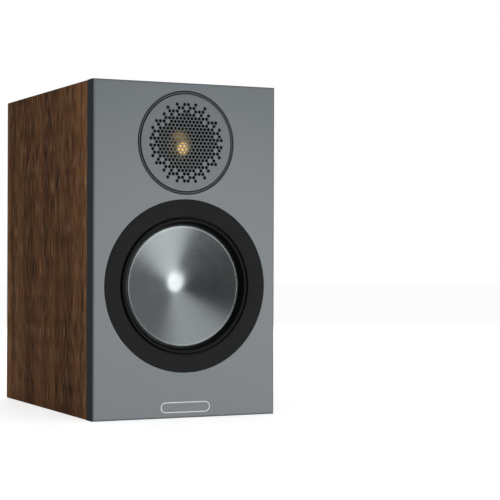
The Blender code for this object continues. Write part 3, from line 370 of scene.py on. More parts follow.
class Bench:
    """A node tree with short ways to add nodes and link them."""

    def __init__(self, tree: bpy.types.NodeTree) -> None:
        """Starts on an empty tree."""
        self.tree = tree
        tree.nodes.clear()

    def feed(self, socket: bpy.types.NodeSocket, value: Any) -> None:
        """Links an output socket to an input, or sets the input's own value.

        Args:
            socket: The input socket.
            value: An output socket or a plain value.
        """
        if isinstance(value, bpy.types.NodeSocket):
            self.tree.links.new(value, socket)
        else:
            socket.default_value = value

    def add(self, kind: str, inputs: dict[Any, Any] | None = None, **settings: Any) -> bpy.types.Node:
        """Adds a node.

        Args:
            kind: The node's type, without its ShaderNode prefix unless it starts with Node.
            inputs: A value or an output socket for each input, by name or number.
            **settings: The node's own settings.

        Returns:
            The node.
        """
        node = self.tree.nodes.new(kind if kind.startswith("Node") else "ShaderNode" + kind)
        for key, value in settings.items():
            setattr(node, key, value)
        for key, value in (inputs or {}).items():
            self.feed(node.inputs[key], value)
        return node

    def math(self, operation: str, *values: Any, clamp: bool = False) -> bpy.types.NodeSocket:
        """Adds a Math node on the values and returns its result."""
        return self.add("Math", dict(enumerate(values)), operation=operation, use_clamp=clamp).outputs[0]

    def vector(self, operation: str, *values: Any) -> Any:
        """Adds a Vector Math node on the values and returns its outputs."""
        return self.add("VectorMath", dict(enumerate(values)), operation=operation).outputs

    def parts(self, vector: Any) -> Any:
        """Splits a vector and returns its X, Y and Z outputs."""
        return self.add("SeparateXYZ", {0: vector}).outputs

    def moved(self, vector: Any, centre: Any) -> bpy.types.NodeSocket:
        """Moves a vector so that the centre becomes its origin."""
        return self.add("Mapping", {"Vector": vector, "Location": tuple(-value for value in centre)}).outputs[0]

    def noise(self, scale: Any, detail: float, inputs: dict[str, Any], **settings: Any) -> bpy.types.NodeSocket:
        """Adds a Noise Texture and returns its value."""
        return self.add("TexNoise", {"Scale": scale, "Detail": detail, **inputs}, **settings).outputs[0]

    def steps(self, value: Any, low: float, high: float, bottom: float = 0.0, top: float = 1.0) -> Any:
        """Maps low to high smoothly on to bottom to top, and returns the result."""
        inputs = {"Value": value, "From Min": low, "From Max": high, "To Min": bottom, "To Max": top}
        return self.add("MapRange", inputs, interpolation_type="SMOOTHSTEP").outputs[0]

    def blend(self, share: Any, first: Any, second: Any) -> bpy.types.NodeSocket:
        """Mixes two colours by the share of the second and returns the result."""
        return self.add("Mix", {0: share, 6: first, 7: second}, data_type="RGBA").outputs[2]

    def ramp(self, value: Any, stops: list[tuple[float, Paint]]) -> bpy.types.NodeSocket:
        """Adds a Color Ramp.

        Args:
            value: What the ramp reads.
            stops: The place and colour of each stop.

        Returns:
            The ramp's colour.
        """
        node = self.add("ValToRGB", {0: value})
        elements = node.color_ramp.elements
        for _ in stops[2:]:
            elements.new(1.0)
        for element, (place, colour) in zip(elements, stops):
            element.position = place
            element.color = colour
        return node.outputs[0]


class GroupBench(Bench):
    """A bench on a new shader node group, which takes a vector and numbers and puts out numbers."""

    def __init__(self, name: str, *outputs: str, **inputs: float) -> None:
        """Starts the group.

        Args:
            name: The group's name.
            *outputs: The names of its outputs.
            **inputs: The default of each number it takes.
        """
        super().__init__(bpy.data.node_groups.new(name, "ShaderNodeTree"))
        socket = self.tree.interface.new_socket
        socket(name="Vector", in_out="INPUT", socket_type="NodeSocketVector")
        for key, default in inputs.items():
            socket(name=key, in_out="INPUT", socket_type="NodeSocketFloat").default_value = default
        for key in outputs:
            socket(name=key, in_out="OUTPUT", socket_type="NodeSocketFloat")
        self.given = self.add("NodeGroupInput").outputs
        self.place = {"Vector": self.given["Vector"]}
        self.results = self.add("NodeGroupOutput").inputs

    def close(self, *values: bpy.types.NodeSocket) -> bpy.types.NodeTree:
        """Feeds the group's outputs in order.

        Args:
            *values: The sockets that feed them.

        Returns:
            The finished group.
        """
        for value, result in zip(values, self.results):
            self.feed(result, value)
        return self.tree


@dataclass
class Effects:
    """The effects that several finishes share, each a node group that is built once."""

    grain: bpy.types.NodeTree = field(init=False)
    dust: bpy.types.NodeTree = field(init=False)
    turning: bpy.types.NodeTree = field(init=False)
    timber: bpy.types.NodeTree = field(init=False)
    weave: bpy.types.NodeTree = field(init=False)

    def __post_init__(self) -> None:
        """Builds every group."""
        for effect in ("grain", "dust", "turning", "timber", "weave"):
            setattr(self, effect, getattr(self, f"build_{effect}")())

    def build_grain(self) -> bpy.types.NodeTree:
        """Moulded or sprayed grain: 0.6 of a fine noise and 0.4 of one fourteen times coarser.

        Returns:
            The group.
        """
        bench = GroupBench("fine_grain", "Value", "Height", Scale=1000.0)
        scale = bench.given["Scale"]
        fine = bench.noise(scale, 4.0, bench.place)
        broad = bench.noise(bench.math("MULTIPLY", scale, 0.07), 2.0, bench.place)
        return bench.close(bench.math("MULTIPLY_ADD", broad, 0.4, bench.math("MULTIPLY", fine, 0.6)), fine)

    def build_dust(self) -> bpy.types.NodeTree:
        """Dust that settles where a surface faces up: the square of the upward share, broken by noise.

        Returns:
            The group.
        """
        bench = GroupBench("settled_dust", "Mask", Amount=0.2)
        normal = bench.parts(bench.add("NewGeometry").outputs["Normal"])
        upward = bench.math("POWER", bench.math("MAXIMUM", normal["Z"], 0.0), 2.0)
        patch = bench.steps(bench.noise(90.0, 5.0, bench.place), 0.35, 0.75)
        return bench.close(bench.math("MULTIPLY", bench.math("MULTIPLY", upward, patch), bench.given["Amount"]))

    def build_turning(self) -> bpy.types.NodeTree:
        """The rings that a tool leaves on turned metal: noise over the distance from the Y axis.

        Returns:
            The group.
        """
        bench = GroupBench("turning_marks", "Value", "Height", Pitch=0.0003)
        apart = bench.vector("MULTIPLY", bench.given["Vector"], (1.0, 0.0, 1.0))[0]
        turns = {"W": bench.math("DIVIDE", bench.vector("LENGTH", apart)["Value"], bench.given["Pitch"])}
        fine = bench.noise(1.0, 2.0, turns, noise_dimensions="1D")
        broad = bench.noise(0.06, 3.0, turns, noise_dimensions="1D")
        return bench.close(bench.math("MULTIPLY_ADD", broad, 0.5, bench.math("MULTIPLY", fine, 0.5)), fine)

    def build_timber(self) -> bpy.types.NodeTree:
        """Walnut: broad bands, long streaks, short dark pores and light flecks. X runs across the grain, Y along.

        Returns:
            The group.
        """
        bench = GroupBench("timber_grain", "Tone", "Streaks", "Pores", "Flecks", "Height")
        masks = []
        for across, along, offset, detail, distortion, low, high in (
            (34.0, 1.3, 3.0, 4.0, 0.5, 0.3, 0.7),
            (520.0, 40.0, 7.0, 5.0, 0.2, 0.3, 0.7),
            (1300.0, 60.0, 11.0, 3.0, 0.0, 0.54, 0.68),
            (900.0, 56.0, 17.0, 3.0, 0.0, 0.55, 0.66),
        ):
            stretch = {"Scale": (across, along, 1.0), "Location": (offset,) * 3}
            mapped = bench.add("Mapping", {**bench.place, **stretch}).outputs[0]
            layer = bench.noise(1.0, detail, {"Vector": mapped, "Distortion": distortion})
            masks.append(bench.steps(layer, low, high))
        return bench.close(*masks, bench.math("SUBTRACT", masks[1], masks[2]))

    def build_weave(self) -> bpy.types.NodeTree:
        """Threads that cross: the product of two sine waves, over and under each other.

        Returns:
            The group.
        """
        bench = GroupBench("crossed_threads", "Value", Threads=900.0)
        parts = bench.parts(bench.given["Vector"])
        turns = bench.math("MULTIPLY", bench.given["Threads"], 2 * math.pi)
        waves = [bench.math("SINE", bench.math("MULTIPLY", parts[key], turns)) for key in ("X", "Z")]
        return bench.close(bench.math("MULTIPLY_ADD", bench.math("MULTIPLY", *waves), 0.5, 0.5))


# ------------------------------------------------------------------ finishes


def paint(red: int, green: int, blue: int) -> Paint:
    """A display colour of 0 to 255 as linear light.

    Args:
        red: Its red.
        green: Its green.
        blue: Its blue.

    Returns:
        Red, green, blue and alpha.
    """
    levels = np.array([red, green, blue]) / 255
    linear = np.where(levels <= 0.04045, levels / 12.92, ((levels + 0.055) / 1.055) ** 2.4)
    return (*linear.tolist(), 1.0)


def shaded(colour: Paint, factor: float) -> Paint:
    """A colour made lighter or darker by a factor, up to white."""
    return (*np.minimum(np.array(colour[:3]) * factor, 1.0).tolist(), 1.0)


DUST_COLOUR = paint(150, 146, 138)


@dataclass(frozen=True)
class Finish:
    """What every finish shares: a name, a colour, a gloss and a relief."""

    name: str
    colour: Paint
    roughness: float = 0.5
    metallic: float = 0.0
    bump: float = 0.1
    bump_height: float = 0.05 * MM
    specular: float = 0.5
    sheen: float = 0.0

    def material(self, effects: Effects) -> bpy.types.Material:
        """Makes the material.

        Args:
            effects: The shared node groups.

        Returns:
            The finished material.
        """
        material = bpy.data.materials.new(self.name)
        material.use_nodes = True
        bench = Bench(material.node_tree)
        plain = {"Metallic": self.metallic, "Specular IOR Level": self.specular, "Sheen Weight": self.sheen}
        colour, roughness, height = self.pattern(bench, effects, self.place(bench))
        relief = {"Strength": self.bump, "Distance": self.bump_height, "Height": height}
        fed = {"Base Color": colour, "Roughness": roughness, "Normal": bench.add("Bump", relief).outputs[0]}
        shader = bench.add("BsdfPrincipled", {**plain, **fed})
        bench.add("OutputMaterial", {"Surface": shader.outputs[0]})
        return material

    def place(self, bench: Bench) -> bpy.types.NodeSocket:
        """The object's own coordinates."""
        return bench.add("TexCoord").outputs["Object"]

    def group(self, bench: Bench, effect: bpy.types.NodeTree, place: Any, **values: float) -> Any:
        """Places a shared effect with its own values and returns its outputs."""
        return bench.add("Group", {"Vector": place, **values}, node_tree=effect).outputs

    def pattern(self, bench: Bench, effects: Effects, place: Any) -> Pattern:
        """Works out what varies over the surface. Each kind of finish has its own.

        Args:
            bench: The material's bench.
            effects: The shared node groups.
            place: The coordinates that the pattern follows.

        Returns:
            The colour, the roughness and the height.
        """
        raise NotImplementedError


@dataclass(frozen=True)
class Moulded(Finish):
    """Moulded plastic, rubber or sprayed paint: fine grain, a faint mottle and a little dust."""

    grain_scale: float = 2600.0
    mottle: float = 0.12
    dust: float = 0.05

    def pattern(self, bench: Bench, effects: Effects, place: Any) -> Pattern:
        """Grain lightens and darkens the colour by the mottle, and dust greys what faces up.

        Args:
            bench: The material's bench.
            effects: The shared node groups.
            place: The coordinates that the pattern follows.

        Returns:
            The colour, the roughness and the height.
        """
        grain = self.group(bench, effects.grain, place, Scale=self.grain_scale)
        dust = self.group(bench, effects.dust, place, Amount=self.dust)
        shades = (shaded(self.colour, 1 - self.mottle), shaded(self.colour, 1 + self.mottle))
        colour = bench.blend(dust["Mask"], bench.blend(grain["Value"], *shades), DUST_COLOUR)
        rough = bench.steps(grain["Value"], 0.2, 0.8, self.roughness - 0.05, self.roughness + 0.06)
        return colour, rough, grain["Height"]


@dataclass(frozen=True)
class PaintWithPaintedEdgeShade(Moulded):
    """Sprayed paint with painted shade on the board's four edges, which are darkened to stand in for their shade."""

    edge_shade_colour: Paint = paint(56, 62, 66)
    middle: Spot = (0.0, 0.0, 136 * MM)
    half: Spot = (80 * MM, 1.0, 136 * MM)
    edge_shade_band: tuple[float, float] = (0.05 * MM, 0.5 * MM)

    def pattern(self, bench: Bench, effects: Effects, place: Any) -> Pattern:
        """The colour goes over to the painted edge shade where the distance in from a side falls through the band.

        Args:
            bench: The material's bench.
            effects: The shared node groups.
            place: The coordinates that the pattern follows.

        Returns:
            The colour, the roughness and the height.
        """
        colour, rough, height = super().pattern(bench, effects, place)
        apart = bench.vector("ABSOLUTE", bench.moved(place, self.middle))[0]
        inwards = bench.parts(bench.vector("SUBTRACT", self.half, apart)[0])
        # face is 1 on the board's face and falls to 0 at its edges, where the painted edge shade takes over
        face = bench.steps(bench.math("MINIMUM", inwards["X"], inwards["Z"]), *self.edge_shade_band)
        return bench.blend(face, self.edge_shade_colour, colour), rough, height


@dataclass(frozen=True)
class Timber(Finish):
    """Walnut veneer under a dull lacquer."""

    specular: float = 0.2
    dark: Paint = paint(46, 27, 14)
    light: Paint = paint(170, 122, 78)
    fleck: Paint = paint(196, 166, 136)
    path: GrainPath = GrainPath.MAP

    def place(self, bench: Bench) -> bpy.types.NodeSocket:
        """Coordinates with X across the grain and Y along it, in metres.

        Args:
            bench: The material's bench.

        Returns:
            The coordinates.
        """
        if self.path is GrainPath.MAP:
            return bench.add("UVMap", uv_map="grain").outputs[0]
        parts = bench.parts(super().place(bench))
        return bench.add("CombineXYZ", {"X": parts["X"], "Y": parts["Z"]}).outputs[0]

    def pattern(self, bench: Bench, effects: Effects, place: Any) -> Pattern:
        """Bands and streaks set the colour between dark and light, then pores and flecks cut into it.

        Args:
            bench: The material's bench.
            effects: The shared node groups.
            place: The coordinates that the pattern follows.

        Returns:
            The colour, the roughness and the height.
        """
        timber = self.group(bench, effects.timber, place)
        streaked = bench.math("MULTIPLY_ADD", timber["Streaks"], 0.36, 0.08)
        share = bench.math("MULTIPLY_ADD", timber["Tone"], 0.4, streaked, clamp=True)
        banded = bench.ramp(share, [(0.08, self.dark), (0.44, self.colour), (0.86, self.light)])
        pitted = bench.blend(bench.math("MULTIPLY", timber["Pores"], 0.48), banded, self.dark)
        colour = bench.blend(bench.math("MULTIPLY", timber["Flecks"], 0.31), pitted, self.fleck)
        rough = bench.steps(timber["Streaks"], 0.2, 0.8, self.roughness - 0.06, self.roughness + 0.08)
        return colour, rough, timber["Height"]


@dataclass(frozen=True)
class Turned(Finish):
    """Metal with the rings of a lathe or a spinning tool round an axis."""

    centre: Spot = (0.0, 0.0, 0.0)
    pitch: float = 0.3 * MM
    contrast: float = 0.08
    spread: float = 0.05

    def pattern(self, bench: Bench, effects: Effects, place: Any) -> Pattern:
        """Rings shade the metal by the contrast and its roughness by the spread.

        Args:
            bench: The material's bench.
            effects: The shared node groups.
            place: The coordinates that the pattern follows.

        Returns:
            The colour, the roughness and the height.
        """
        centred = bench.moved(place, self.centre)
        marks = self.group(bench, effects.turning, centred, Pitch=self.pitch)
        smudge = bench.noise(55.0, 4.0, {"Vector": centred})
        dark = shaded(self.colour, 1 - self.contrast)
        ringed = bench.blend(marks["Value"], dark, shaded(self.colour, 1 + self.contrast))
        colour = bench.blend(bench.math("MULTIPLY", smudge, 0.12), ringed, dark)
        shifted = bench.math("MULTIPLY_ADD", smudge, 0.4, bench.math("MULTIPLY", marks["Value"], 0.6))
        rough = bench.steps(shifted, 0.25, 0.75, self.roughness - self.spread, self.roughness + self.spread)
        return colour, rough, marks["Height"]


@dataclass(frozen=True)
class Coarse(Finish):
    """Cast, plated or plain rolled metal: pits and dull patches at one scale."""

    lump_scale: float = 700.0
    patch: Paint = paint(60, 60, 62)
    patch_share: float = 0.3

    def pattern(self, bench: Bench, effects: Effects, place: Any) -> Pattern:
        """Dull patches cover up to their share, and are rougher than the rest.

        Args:
            bench: The material's bench.
            effects: The shared node groups.
            place: The coordinates that the pattern follows.

        Returns:
            The colour, the roughness and the height.
        """
        grain = self.group(bench, effects.grain, place, Scale=self.lump_scale)
        patches = bench.noise(self.lump_scale / 12, 5.0, {"Vector": place})
        dull = bench.steps(patches, 0.45, 0.7, 0.0, self.patch_share)
        grained = bench.math("MULTIPLY_ADD", grain["Value"], 0.12, self.roughness - 0.06)
        rough = bench.math("MULTIPLY_ADD", dull, 0.5, grained)
        return bench.blend(dull, self.colour, self.patch), rough, grain["Height"]


@dataclass(frozen=True)
class Woven(Finish):
    """Cloth: threads that cross, over a mottled colour."""

    sheen: float = 0.2
    threads: float = 900.0
    shadow: float = 0.5

    def pattern(self, bench: Bench, effects: Effects, place: Any) -> Pattern:
        """The gaps between threads are darker by the shadow, and the threads stand proud.

        Args:
            bench: The material's bench.
            effects: The shared node groups.
            place: The coordinates that the pattern follows.

        Returns:
            The colour, the roughness and the height.
        """
        weave = self.group(bench, effects.weave, place, Threads=self.threads)["Value"]
        grain = self.group(bench, effects.grain, place, Scale=self.threads * 2)["Value"]
        share = bench.math("MULTIPLY_ADD", grain, 0.5, weave, clamp=True)
        rough = bench.steps(grain, 0.2, 0.8, self.roughness - 0.05, self.roughness + 0.1)
        return bench.blend(share, shaded(self.colour, self.shadow), self.colour), rough, weave


@dataclass(frozen=True)
class Matted(Finish):
    """Foam or wadding: tangled fibres, with painted shade in the deep gaps between them."""

    sheen: float = 0.25
    fibre_scale: float = 500.0
    # The gap colour is painted shade between the fibres.
    gap: Paint = paint(20, 20, 20)

    def pattern(self, bench: Bench, effects: Effects, place: Any) -> Pattern:
        """A twisted noise picks out fibres from the gaps between them, which take the darker gap colour as painted
        shade.

        Args:
            bench: The material's bench.
            effects: The shared node groups.
            place: The coordinates that the pattern follows.

        Returns:
            The colour, the roughness and the height.
        """
        tangle = bench.noise(self.fibre_scale, 6.0, {"Vector": place, "Distortion": 1.4})
        fibres = bench.steps(tangle, 0.36, 0.62)
        grain = self.group(bench, effects.grain, place, Scale=self.fibre_scale / 4)["Value"]
        share = bench.math("MULTIPLY_ADD", grain, 0.3, bench.math("MULTIPLY", fibres, 0.75))
        rough = bench.steps(fibres, 0.0, 1.0, self.roughness + 0.08, self.roughness - 0.05)
        return bench.blend(share, self.gap, self.colour), rough, fibres


SATIN = {"bump": 0.1, "grain_scale": 3200.0, "mottle": 0.05, "dust": 0.03}
WALNUT = (paint(118, 78, 46), 0.55)

FINISHES: dict[Slot, Finish] = {
    # The baffle's paint carries painted shade on its four edges.
    Slot.BAFFLE: PaintWithPaintedEdgeShade("satin_grey_paint", (0.166, 0.19, 0.206, 1.0), 0.33, specular=0.9, **SATIN),
    Slot.WALNUT: Timber("walnut_upright", *WALNUT, bump=0.35, path=GrainPath.UPRIGHT),
    Slot.BADGE: Turned(
        "badge_bright_edge", (0.9, 0.91, 0.92, 1.0), 0.35, 0.0, bump=0.04, pitch=0.2 * MM, contrast=0.04
    ),
    Slot.BLACK_PLASTIC: Moulded(
        "moulded_black", paint(24, 25, 25), 0.5, bump=0.2, grain_scale=1500.0, mottle=0.32, specular=0.16
    ),
    Slot.RUBBER: Moulded(
        "moulded_rubber", paint(9, 10, 10), 0.3, bump=0.06, grain_scale=1800.0, dust=0.008, specular=0.14
    ),
    Slot.FOAM: Matted("gasket_foam", paint(58, 58, 60), 0.9, bump=0.6, fibre_scale=2200.0),
    Slot.CONE_METAL: Turned(
        "spun_cone",
        (0.535, 0.585, 0.602, 1.0),
        0.24,
        1.0,
        bump=0.008,
        bump_height=0.01 * MM,
        centre=(0.0, 0.0, WOOFER_Z),
        pitch=0.35 * MM,
        contrast=0.04,
        spread=0.025,
    ),
    Slot.CAST_METAL: Coarse("cast_basket", paint(64, 66, 68), 0.55, 0.4, bump=0.3, lump_scale=900.0),
    Slot.STEEL: Coarse("zinc_plated_steel", (0.56, 0.57, 0.58, 1.0), 0.34, 1.0, bump=0.08, lump_scale=500.0),
    Slot.FERRITE: Coarse(
        "sintered_ferrite", paint(48, 48, 50), 0.62, 0.1, bump=0.4, lump_scale=1300.0, patch=paint(84, 84, 86)
    ),
    Slot.COPPER: Turned(
        "copper_winding",
        (0.72, 0.33, 0.17, 1.0),
        0.3,
        1.0,
        bump=0.6,
        bump_height=0.1 * MM,
        pitch=0.25 * MM,
        contrast=0.3,
    ),
    Slot.FORMER: Woven("voice_coil_former", paint(150, 118, 62), 0.5, bump=0.2, threads=1500.0),
    Slot.SPIDER: Woven("treated_cloth", paint(176, 130, 66), 0.75, bump=0.5, threads=800.0),
    Slot.GRILLE: Moulded("pierced_plate_paint", (0.15, 0.175, 0.188, 1.0), 0.36, specular=0.8, **SATIN),
    Slot.GOLD_DOME: Turned(
        "gold_anodised_dome",
        (0.86, 0.56, 0.2, 1.0),
        0.22,
        1.0,
        bump=0.04,
        centre=(0.0, 0.0, TWEETER_Z),
        pitch=0.2 * MM,
    ),
    Slot.GOLD_PLATE: Coarse(
        "gold_plating",
        (0.9, 0.66, 0.3, 1.0),
        0.2,
        1.0,
        bump=0.05,
        lump_scale=900.0,
        patch=paint(150, 112, 60),
        patch_share=0.12,
    ),
    Slot.NUT_RED: Moulded("moulded_red", paint(150, 26, 24), 0.34, bump=0.12, mottle=0.06, dust=0.03),
    Slot.NUT_BLACK: Moulded("moulded_nut_black", paint(34, 34, 35), 0.34, bump=0.12, mottle=0.1, dust=0.03),
    Slot.BOARD: Woven("glass_board", paint(38, 84, 52), 0.45, bump=0.15, threads=600.0, shadow=0.8),
    Slot.CAPACITOR: Moulded("capacitor_sleeve", paint(40, 62, 112), 0.35, bump=0.05, mottle=0.06),
    Slot.WADDING: Matted(
        "polyester_wadding",
        paint(214, 212, 204),
        0.95,
        bump=0.9,
        bump_height=0.6 * MM,
        fibre_scale=260.0,
        # painted shade between the wadding's fibres
        gap=paint(120, 118, 112),
    ),
    Slot.LEAD: Moulded("lead_sheath", paint(28, 28, 30), 0.4),
}
# The baffle's grey darkened: painted shade for the ring in the tweeter's groove.
GROOVE_SHADE_FINISH = Moulded("satin_groove_painted_shade", paint(74, 79, 82), 0.34, bump=0.05, grain_scale=2400.0, mottle=0.06)
SLEEVE_FINISH = Timber("walnut_wrap", *WALNUT, bump=0.35)


@dataclass
class Wardrobe:
    """Every finish made into a material once."""

    effects: Effects
    made: dict[str, bpy.types.Material] = field(default_factory=dict)

    def material(self, finish: Finish) -> bpy.types.Material:
        """The material of a finish, made the first time it is asked for.

        Args:
            finish: The finish.

        Returns:
            Its material.
        """
        if finish.name not in self.made:
            self.made[finish.name] = finish.material(self.effects)
        return self.made[finish.name]

    def dress(self, piece: bpy.types.Object, slot: Slot, finish: Finish | None = None) -> None:
        """Puts a slot's finish, or a special one, on a piece.

        Args:
            piece: The new piece.
            slot: The record's slot that it belongs to.
            finish: A finish in place of the slot's own, or none.
        """
        piece.data.materials.clear()
        piece.data.materials.append(self.material(finish or FINISHES[slot]))

    def dress_nodes(self) -> None:
        """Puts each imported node's finish in its object's own material slots."""
        slots = {part["node"]: part["material_slot"] for part in frame["record"]["subparts"]}
        for name, node in frame["nodes"].items():
            material = self.material(FINISHES[Slot(slots[name])])
            if not node.material_slots:
                node.data.materials.append(material)
            for holder in node.material_slots:
                holder.link = "OBJECT"
                holder.material = material


@dataclass
class SubAssembly:
    """What every sub-assembly shares: the wardrobe, and a list of its pieces."""

    wardrobe: Wardrobe
    pieces: list[bpy.types.Object] = field(default_factory=list, kw_only=True)

    def build(self) -> None:
        """Builds every piece."""
        raise NotImplementedError

    def keep(
        self,
        piece: bpy.types.Object,
        slot: Slot,
        body: Body | None,
        *nodes: str,
        finish: Finish | None = None,
    ) -> bpy.types.Object:
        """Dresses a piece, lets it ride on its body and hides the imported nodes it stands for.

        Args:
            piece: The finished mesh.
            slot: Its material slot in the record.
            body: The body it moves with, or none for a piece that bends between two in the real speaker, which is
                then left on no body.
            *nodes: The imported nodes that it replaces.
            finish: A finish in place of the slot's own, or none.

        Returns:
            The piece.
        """
        self.wardrobe.dress(piece, slot, finish)
        if body is not None:
            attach(piece, body.value)
        if nodes:
            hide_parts(*nodes)
        self.pieces.append(piece)
        log.info("%s: %d faces", piece.name, len(piece.data.polygons))
        return piece


# ------------------------------------------------------------------ cabinet


@dataclass
class Cabinet(SubAssembly):
    """The grey baffle, the folded walnut skin behind it and the badge."""

    width: float = 160 * MM
    height: float = 272 * MM
    depth: float = 233 * MM
    baffle_thickness: float = 14.5 * MM
    edge_round: float = 1.5 * MM
    wall: float = 12 * MM
    joint: float = 0.3 * MM
    skin_corner: float = 0.9 * MM
    hold: float = 0.5 * MM
    rebate_ease: float = 0.25 * MM
    woofer_steps: tuple[float, float, float] = (70.3 * MM, 7.8 * MM, 62 * MM)
    tweeter_steps: tuple[float, float, float] = (42.2 * MM, 6 * MM, 31.7 * MM)
    split_z: float = 179.28 * MM
    side_points: int = 48
    skin_ease: float = 0.35 * MM
    badge_z: float = 8.7 * MM
    badge_size: tuple[float, float] = (43.6 * MM, 9 * MM)
    badge_gap: float = 0.2 * MM
    badge_border: float = 1 * MM
    badge_span: tuple[float, float] = (-0.85 * MM, -0.1 * MM)

    @property
    def front(self) -> Axis:
        """The line out of the baffle's face at the cabinet's foot."""
        return Axis(0.0, 0.0, -self.depth / 2, -1)

    @property
    def badge_axis(self) -> Axis:
        """The line out of the badge's middle."""
        return Axis(0.0, self.badge_z, -self.depth / 2, -1)

    def cell_outline(self, inset: float, low: float, high: float) -> np.ndarray:
        """A rectangle's outline with evenly spaced points: bottom, right, top, left.

        Args:
            inset: How far the sides stand in from the cabinet's own.
            low: Height of the lower side.
            high: Height of the upper side.

        Returns:
            4 * side_points x 2 points.
        """
        half = self.width / 2 - inset
        corners = np.array([(-half, low), (half, low), (half, high), (-half, high)])
        share = np.arange(self.side_points)[None, :, None] / self.side_points
        return (corners[:, None] * (1 - share) + np.roll(corners, -1, axis=0)[:, None] * share).reshape(-1, 2)

    def cell_rows(self, low: float, high: float, spread: tuple[float, float], centre_z: float, steps: Any) -> Any:
        """One driver's cell: the face from its edge in to the rebate, down the steps and out across the back.

        Args:
            low: Height of the cell's lower side.
            high: Height of its upper side.
            spread: How far the lower and upper sides stand in at the front.
            centre_z: Height of the driver's centre.
            steps: Rebate radius, rebate depth and hole radius.

        Returns:
            Rows x columns x 3 points.
        """
        hold, ease = self.hold, self.rebate_ease
        face = self.cell_outline(self.edge_round, low + spread[0], high - spread[1])
        held = self.cell_outline(self.edge_round + hold, low + spread[0] + hold, high - spread[1] - hold)
        back = self.cell_outline(0.0, low, high)
        rebate, rebate_depth, hole = steps
        ring = [(rebate + ease + hold, 0.0), (rebate + ease, 0.0), (rebate, -ease), (rebate, -rebate_depth)]
        ring += [(hole, -rebate_depth), (hole, -self.baffle_thickness)]
        away = face - [0.0, centre_z]
        unit = away / np.linalg.norm(away, axis=1)[:, None]
        loops = [face, held] + [unit * radius + [0.0, centre_z] for radius, _ in ring] + [back]
        heights = [0.0, 0.0] + [height for _, height in ring] + [-self.baffle_thickness]
        return self.front.stacked(loops, heights)

    def outer_band(self) -> np.ndarray:
        """The baffle's edge: a quarter round of the edge radius, then straight back.

        Returns:
            Rows x columns x 3 points.
        """
        inset = self.edge_round
        lower_front = self.cell_outline(inset, inset, self.split_z)
        upper_front = self.cell_outline(inset, self.split_z, self.height - inset)
        lower_back = self.cell_outline(0.0, 0.0, self.split_z)
        upper_back = self.cell_outline(0.0, self.split_z, self.height)
        n = self.side_points

        def around(lower: np.ndarray, upper: np.ndarray) -> np.ndarray:
            """The perimeter: the lower cell's left, bottom and right sides, then the upper cell's."""
            return np.concatenate([lower[3 * n :], lower[: 2 * n], upper[n : 4 * n]])

        front, back = around(lower_front, upper_front), around(lower_back, upper_back)
        turn = np.linspace(0, math.pi / 2, 6)
        share = np.r_[np.sin(turn), 1.0][:, None, None]
        heights = np.r_[-inset * (1 - np.cos(turn)), -self.baffle_thickness]
        loops = front[None] * (1 - share) + back[None] * share
        return self.front.stacked(list(loops), list(heights))

    def build_baffle(self) -> None:
        """The baffle, with a rebate and a hole for each driver and a pocket for the badge."""
        shell = Shell("baffle_panel")
        lower = self.cell_rows(0.0, self.split_z, (self.edge_round, 0.0), WOOFER_Z, self.woofer_steps)
        upper = self.cell_rows(self.split_z, self.height, (0.0, self.edge_round), TWEETER_Z, self.tweeter_steps)
        baffle = shell.grid(lower).grid(upper).grid(self.outer_band()).piece()
        width, height = (size + 2 * self.badge_gap for size in self.badge_size)
        cutter = self.pill("badge_pocket", width, height, mm((0, 1), (0, -1.2)).tolist())
        cut(baffle, cutter)
        self.keep(baffle, Slot.BAFFLE, Body.CABINET, "front_baffle")

    def stack(self, width: float, height: float, rows: Any, steps: int = 12) -> np.ndarray:
        """Stacks bars with round ends on the badge's line, each standing in by its inset.

        Args:
            width: Overall width.
            height: Overall height.
            rows: Inset and height of each outline.
            steps: Chords in each quarter round.

        Returns:
            Rows x columns x 3 points.
        """
        loops = [rounded_loop(width - 2 * inset, height - 2 * inset, height / 2 - inset, steps) for inset, _ in rows]
        return self.badge_axis.stacked(loops, [row[1] for row in rows])

    def pill(self, name: str, width: float, height: float, rows: Any) -> Any:
        """A bar with round ends, closed at both faces along its middle line.

        Args:
            name: The piece's name.
            width: Overall width.
            height: Overall height.
            rows: Inset and height of each outline, from the face seen first to the last.

        Returns:
            The object.
        """
        flat = height / 2 - 0.001 * MM
        closed = [(flat, rows[0][1]), *rows, (flat, rows[-1][1])]
        return Shell(name).grid(self.stack(width, height, closed)).piece()

    def build_badge(self) -> None:
        """A plain grey pill inside a thin bright border."""
        (foot, top), border, ease = self.badge_span, self.badge_border, 0.1 * MM
        profile = [(0.0, foot), (0.0, top - ease), (ease, top), (border - ease, top)]
        profile += [(border, top - ease), (border, foot)]
        rim = Shell("badge_border").grid(self.stack(*self.badge_size, profile), wrap_rows=True).piece()
        self.keep(rim, Slot.BADGE, Body.CABINET, "badge_plate")
        inset = border + 0.02 * MM
        rows = [(inset, foot), (inset, top - 0.2 * MM), (inset + 0.1 * MM, top - 0.12 * MM)]
        middle = self.pill("badge_field", *self.badge_size, rows)
        self.keep(middle, Slot.BADGE, Body.CABINET, finish=FINISHES[Slot.BAFFLE])

